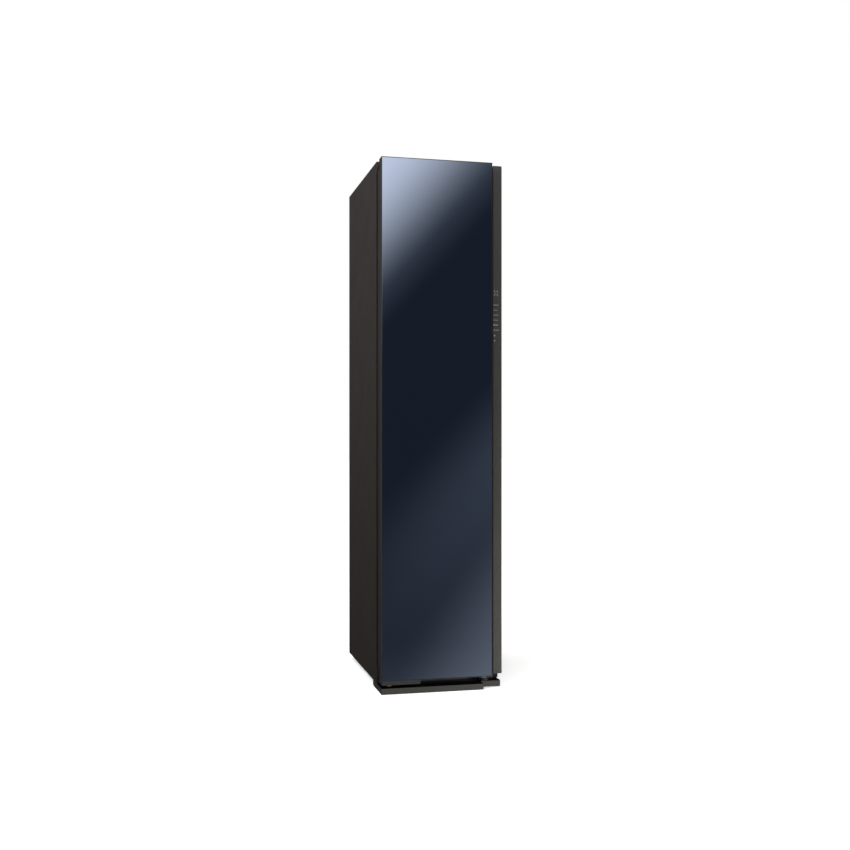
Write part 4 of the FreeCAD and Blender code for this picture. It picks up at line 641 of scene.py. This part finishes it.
def lint_weave():
    """The lint screen: fine crossed wires on the tray's floor and walls, under a hemmed rim."""
    low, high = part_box("lint_mesh")
    pitch = 2.4 * MM
    wire = 0.45 * MM
    bm = bmesh.new()
    count_x = int((high.x - low.x) / pitch)
    count_y = int((high.y - low.y) / pitch)
    count_z = int((high.z - low.z) / pitch)
    for i in range(count_x + 1):
        x = low.x + wire + (high.x - low.x - 2 * wire) * i / count_x
        bar(bm, (x - wire / 2, low.y, low.z), (x + wire / 2, high.y, low.z + wire))
        bar(bm, (x - wire / 2, low.y, low.z), (x + wire / 2, low.y + wire, high.z))
        bar(bm, (x - wire / 2, high.y - wire, low.z), (x + wire / 2, high.y, high.z))
    for i in range(count_y + 1):
        y = low.y + wire + (high.y - low.y - 2 * wire) * i / count_y
        bar(bm, (low.x, y - wire / 2, low.z + wire * 0.7), (high.x, y + wire / 2, low.z + wire * 1.6))
        bar(bm, (low.x, y - wire / 2, low.z), (low.x + wire, y + wire / 2, high.z))
        bar(bm, (high.x - wire, y - wire / 2, low.z), (high.x, y + wire / 2, high.z))
    for i in range(1, count_z + 1):
        z = low.z + (high.z - low.z) * i / count_z
        for y0, y1 in ((low.y + wire * 0.6, low.y + wire * 1.5), (high.y - wire * 1.5, high.y - wire * 0.6)):
            bar(bm, (low.x, y0, z - wire), (high.x, y1, z))
        for x0, x1 in ((low.x + wire * 0.6, low.x + wire * 1.5), (high.x - wire * 1.5, high.x - wire * 0.6)):
            bar(bm, (x0, low.y, z - wire), (x1, high.y, z))
    piece("lint_screen", bm, "mesh", "lint_filter", "lint_mesh")


lint_weave()


def strip_marks():
    """Generic marks on the control strip: two puffs over an arc, rows of a dot and a bar, and two dots."""
    bm = bmesh.new()
    back = STRIP_FACE + MARK_SUNK
    front = STRIP_FACE - MARK_PROUD

    def stroke(points, thick):
        """A flat ribbon of even width along the points, in the strip's face."""
        path = [Vector((x * MM, 0.0, z * MM)) for x, z in points]
        left, right = [], []
        for i, at in enumerate(path):
            ahead = path[min(i + 1, len(path) - 1)] - path[max(i - 1, 0)]
            side = Vector((-ahead.z, 0.0, ahead.x)).normalized() * thick * MM / 2
            left.append(at + side)
            right.append(at - side)
        loop = left + right[::-1]
        top = [bm.verts.new((v.x, front, v.z)) for v in loop]
        bottom = [bm.verts.new((v.x, back, v.z)) for v in loop]
        for i in range(len(path) - 1):
            j = len(loop) - 1 - i
            bm.faces.new((top[i], top[i + 1], top[j - 1], top[j]))
            bm.faces.new((bottom[i], bottom[j], bottom[j - 1], bottom[i + 1]))
        join_rings(bm, top, bottom)

    def disc(x, z, radius):
        """A round mark in the strip's face."""
        place = Matrix.Translation((x * MM, back, z * MM)) @ Matrix.Rotation(math.radians(90), 4, "X")
        low_ring = ring(bm, place, radius * MM, 0.0, 20)
        high_ring = ring(bm, place, radius * MM, back - front, 20)
        join_rings(bm, low_ring, high_ring)
        bm.faces.new(high_ring)
        bm.faces.new(low_ring)

    # The marks' places and sizes, in millimetres.
    line = 1.8
    puff_xs, puff_bottom, puff_sway, puff_step = (196.0, 206.0), 1395.5, 1.5, 1.1
    for x in puff_xs:
        stroke([(x + puff_sway * math.sin(i * math.pi / 5), puff_bottom + i * puff_step) for i in range(11)],
               line)
    arc_x, arc_z, arc_wide, arc_high = 200.5, 1384.0, 8.5, 7.0
    stroke([(arc_x + arc_wide * math.cos(math.radians(a)), arc_z + arc_high * math.sin(math.radians(a)))
            for a in range(10, 171, 10)], line)
    dot_x, bar_x = 194.0, 197.5
    rows = [  # height, the bar's length and thickness
        (1353.3, 12.5, 2.2), (1335.3, 9.0, 1.9), (1317.8, 11.0, 2.0),
        (1300.0, 12.0, 2.0), (1282.6, 10.5, 3.0), (1264.3, 15.0, 2.2),
    ]
    for z, long, thick in rows:
        disc(dot_x, z, thick * 0.95)
        stroke([(bar_x + long * i / 4, z) for i in range(5)], thick)
    big_dot_x, big_dot_zs, big_dot_radius = 196.0, (1244.8, 1226.8), 2.7
    for z in big_dot_zs:
        disc(big_dot_x, z, big_dot_radius)
    piece("touch_marks", bm, "strip_gloss", "door", material=moulded("print", PRINT, 0.5, 4 * MICRON))


strip_marks()


# ---------------------------------------------------------------- studio
def plane(name, size, material):
    """A level square that is part of the studio."""
    bpy.ops.mesh.primitive_plane_add(size=size)
    made = bpy.context.object
    made.name = name
    made.data.materials.append(material)
    return made


AMBIENT = 0.62
FLOOR_SEEN = 1.15  # the floor as the camera sees it in the open, where 1 is white
FLOOR_WHITE = FLOOR_SEEN / AMBIENT


def floor_finish():
    """Pale floor that the camera sees as a little over white, so only the darker part of a shadow shows."""
    s = Shader("floor_finish")
    seen = s.add("ShaderNodeLightPath").outputs["Is Camera Ray"]
    mottled = s.span(s.noise(1.5, 3.0), 0.3, 0.7, 0.99, 1.01)
    plain = s.mix(seen, (0.8, 0.8, 0.8), (FLOOR_WHITE, FLOOR_WHITE, FLOOR_WHITE))
    matt = s.add("ShaderNodeBsdfDiffuse")
    s.feed(matt.inputs["Color"], s.mix(1.0, plain, grey(s, mottled), "MULTIPLY"))
    s.tree.links.new(matt.outputs[0], s.tree.nodes["Material Output"].inputs["Surface"])
    return s.material


floor = plane("floor", 80.0, floor_finish())
floor.visible_glossy = False

# The world is white to the camera and to glossy and transmission rays, and a plain ambient light otherwise.
world = bpy.data.worlds.new("studio")
scene.world = world
world.use_nodes = True
tree = world.node_tree
paths = tree.nodes.new("ShaderNodeLightPath")
seen = tree.nodes.new("ShaderNodeMath")
seen.operation = "MAXIMUM"
clear = tree.nodes.new("ShaderNodeMath")
clear.operation = "MAXIMUM"
tree.links.new(paths.outputs["Is Camera Ray"], seen.inputs[0])
tree.links.new(paths.outputs["Is Glossy Ray"], seen.inputs[1])
tree.links.new(seen.outputs[0], clear.inputs[0])
tree.links.new(paths.outputs["Is Transmission Ray"], clear.inputs[1])
level = tree.nodes.new("ShaderNodeMapRange")
level.inputs["To Min"].default_value = AMBIENT
level.inputs["To Max"].default_value = 1.0
tree.links.new(clear.outputs[0], level.inputs["Value"])
tree.links.new(level.outputs["Result"], tree.nodes["Background"].inputs["Strength"])
tree.nodes["Background"].inputs["Color"].default_value = (1, 1, 1, 1)


def surround_finish():
    """What shiny faces see of the studio: dark flags, with soft lamps in a few directions.

    Directions are in degrees: azimuth is 0 in front and grows to the right, and elevation is 0 at mid height.
    The lamps are set so that the mirror looks as it does in the main view.
    """
    s = Shader("surround_finish")
    x, y, z = s.axes()
    degrees = 180 / math.pi
    mirrored_view = 12.2  # the camera's bearing, as the mirror turns it
    lamp_slope = 1.05
    low_lamp_slope = 1.55
    away = s.math("MULTIPLY", y, -1.0)
    azimuth = s.math("MULTIPLY", s.math("ARCTAN2", x, away), degrees)
    flat = s.math("SQRT", s.math("ADD", s.math("MULTIPLY", x, x), s.math("MULTIPLY", y, y)))
    elevation = s.math("MULTIPLY", s.math("ARCTAN2", z, flat), degrees)
    aside = s.math("SUBTRACT", azimuth, mirrored_view)
    diagonal = s.math("SUBTRACT", elevation, s.math("MULTIPLY", aside, lamp_slope))
    steep = s.math("SUBTRACT", elevation, s.math("MULTIPLY", aside, low_lamp_slope))
    big_lamp = s.span(diagonal, 8.1, 16.1, 0.0, 1.6, True)
    halo = s.span(diagonal, 6.0, 9.6, 0.0, 0.08, True)
    past_lamp = s.span(diagonal, 38.0, 52.0, 1.0, 0.0, True)
    streak = s.math("MULTIPLY", s.span(diagonal, -2.5, -8.0, 0.0, 0.05, True),
                    s.span(diagonal, -13.0, -9.0, 0.66, 1.0, True))
    streak = s.math("MULTIPLY", streak, s.span(azimuth, mirrored_view, 19.2, 0.55, 1.5))
    low_lamp = s.math("ADD", s.span(steep, -13.5, -26.0, 0.0, 0.26, True),
                      s.span(elevation, -11.0, -16.0, 0.0, 0.06, True))
    front = s.math("ADD", s.math("MULTIPLY", big_lamp, past_lamp), low_lamp)
    bluish = s.math("ADD", streak, s.math("MULTIPLY", halo, past_lamp))
    ahead = s.math("MULTIPLY", s.span(azimuth, -82.0, -70.0), s.span(azimuth, 85.0, 75.0))
    facing = s.math("MULTIPLY", ahead, s.span(elevation, 62.0, 50.0))
    front = s.math("MULTIPLY", front, facing)
    behind = s.math("MULTIPLY", s.span(y, 0.0, 40.0), s.span(elevation, -20.0, 60.0, 0.012, 0.3, True))
    beside = s.math("MULTIPLY", s.span(azimuth, -100.0, -92.0), s.span(azimuth, -60.0, -66.0))
    side_lamp = s.math("MULTIPLY", s.span(elevation, 3.0, 16.0, 0.0, 1.6, True),
                       s.span(elevation, 40.0, 30.0))
    lamps = s.math("ADD", s.math("ADD", front, s.math("MULTIPLY", beside, side_lamp)), behind)
    light = s.add("ShaderNodeEmission")
    dark = s.mix(facing, (0.008, 0.007, 0.007), (0.026, 0.033, 0.048))
    cool = s.mix(1.0, grey(s, s.math("MULTIPLY", bluish, facing)), (1.0, 1.12, 1.2), "MULTIPLY")
    s.feed(light.inputs["Color"], s.mix(1.0, s.mix(1.0, grey(s, lamps), dark, "ADD"), cool, "ADD"))
    s.tree.links.new(light.outputs[0], s.tree.nodes["Material Output"].inputs["Surface"])
    return s.material


bpy.ops.mesh.primitive_uv_sphere_add(segments=64, ring_count=32, radius=200.0, location=(0, 0, 0.9))
surround = bpy.context.object
surround.name = "surround"
surround.data.materials.append(surround_finish())
surround.visible_camera = False
surround.visible_diffuse = False
surround.visible_transmission = False
surround.visible_volume_scatter = False
surround.visible_shadow = False


def soft_lamp(name, place, target, size, power):
    """A round area lamp that shiny faces and the camera don't see."""
    data = bpy.data.lights.new(name, "AREA")
    data.shape = "DISK"
    data.size = size
    data.energy = power
    lamp = bpy.data.objects.new(name, data)
    scene.collection.objects.link(lamp)
    lamp.location = place
    lamp.rotation_euler = (target - place).to_track_quat("-Z", "Y").to_euler()
    lamp.visible_glossy = False
    lamp.visible_camera = False
    return lamp


soft_lamp("key", Vector((-2.6, -1.6, 3.0)), Vector((-0.2, 0.0, 1.5)), 1.4, 60.0)
soft_lamp("fill", Vector((2.2, -2.6, 0.2)), Vector((0.2, -0.3, 0.2)), 1.4, 25.0)
soft_lamp("low", Vector((0.7, -0.8, 0.1)), Vector((0.2, -0.27, 0.1)), 0.14, 5.0)

# ---------------------------------------------------------------- camera
CAMERA_PLACE = (-0.958, -3.7086, 0.8773)
CAMERA_BEARING = -12.19
CAMERA_LENS = 43.03
CAMERA_SHIFT = (0.0513, 0.0167)
camera_data = bpy.data.cameras.new("camera")
camera = bpy.data.objects.new("camera", camera_data)
scene.collection.objects.link(camera)
scene.camera = camera
camera_data.sensor_width = 36.0
camera_data.lens = CAMERA_LENS
camera_data.shift_x, camera_data.shift_y = CAMERA_SHIFT
camera.location = CAMERA_PLACE
camera.rotation_euler = (math.radians(90.0), 0.0, math.radians(CAMERA_BEARING))

scene.view_settings.view_transform = "Standard"
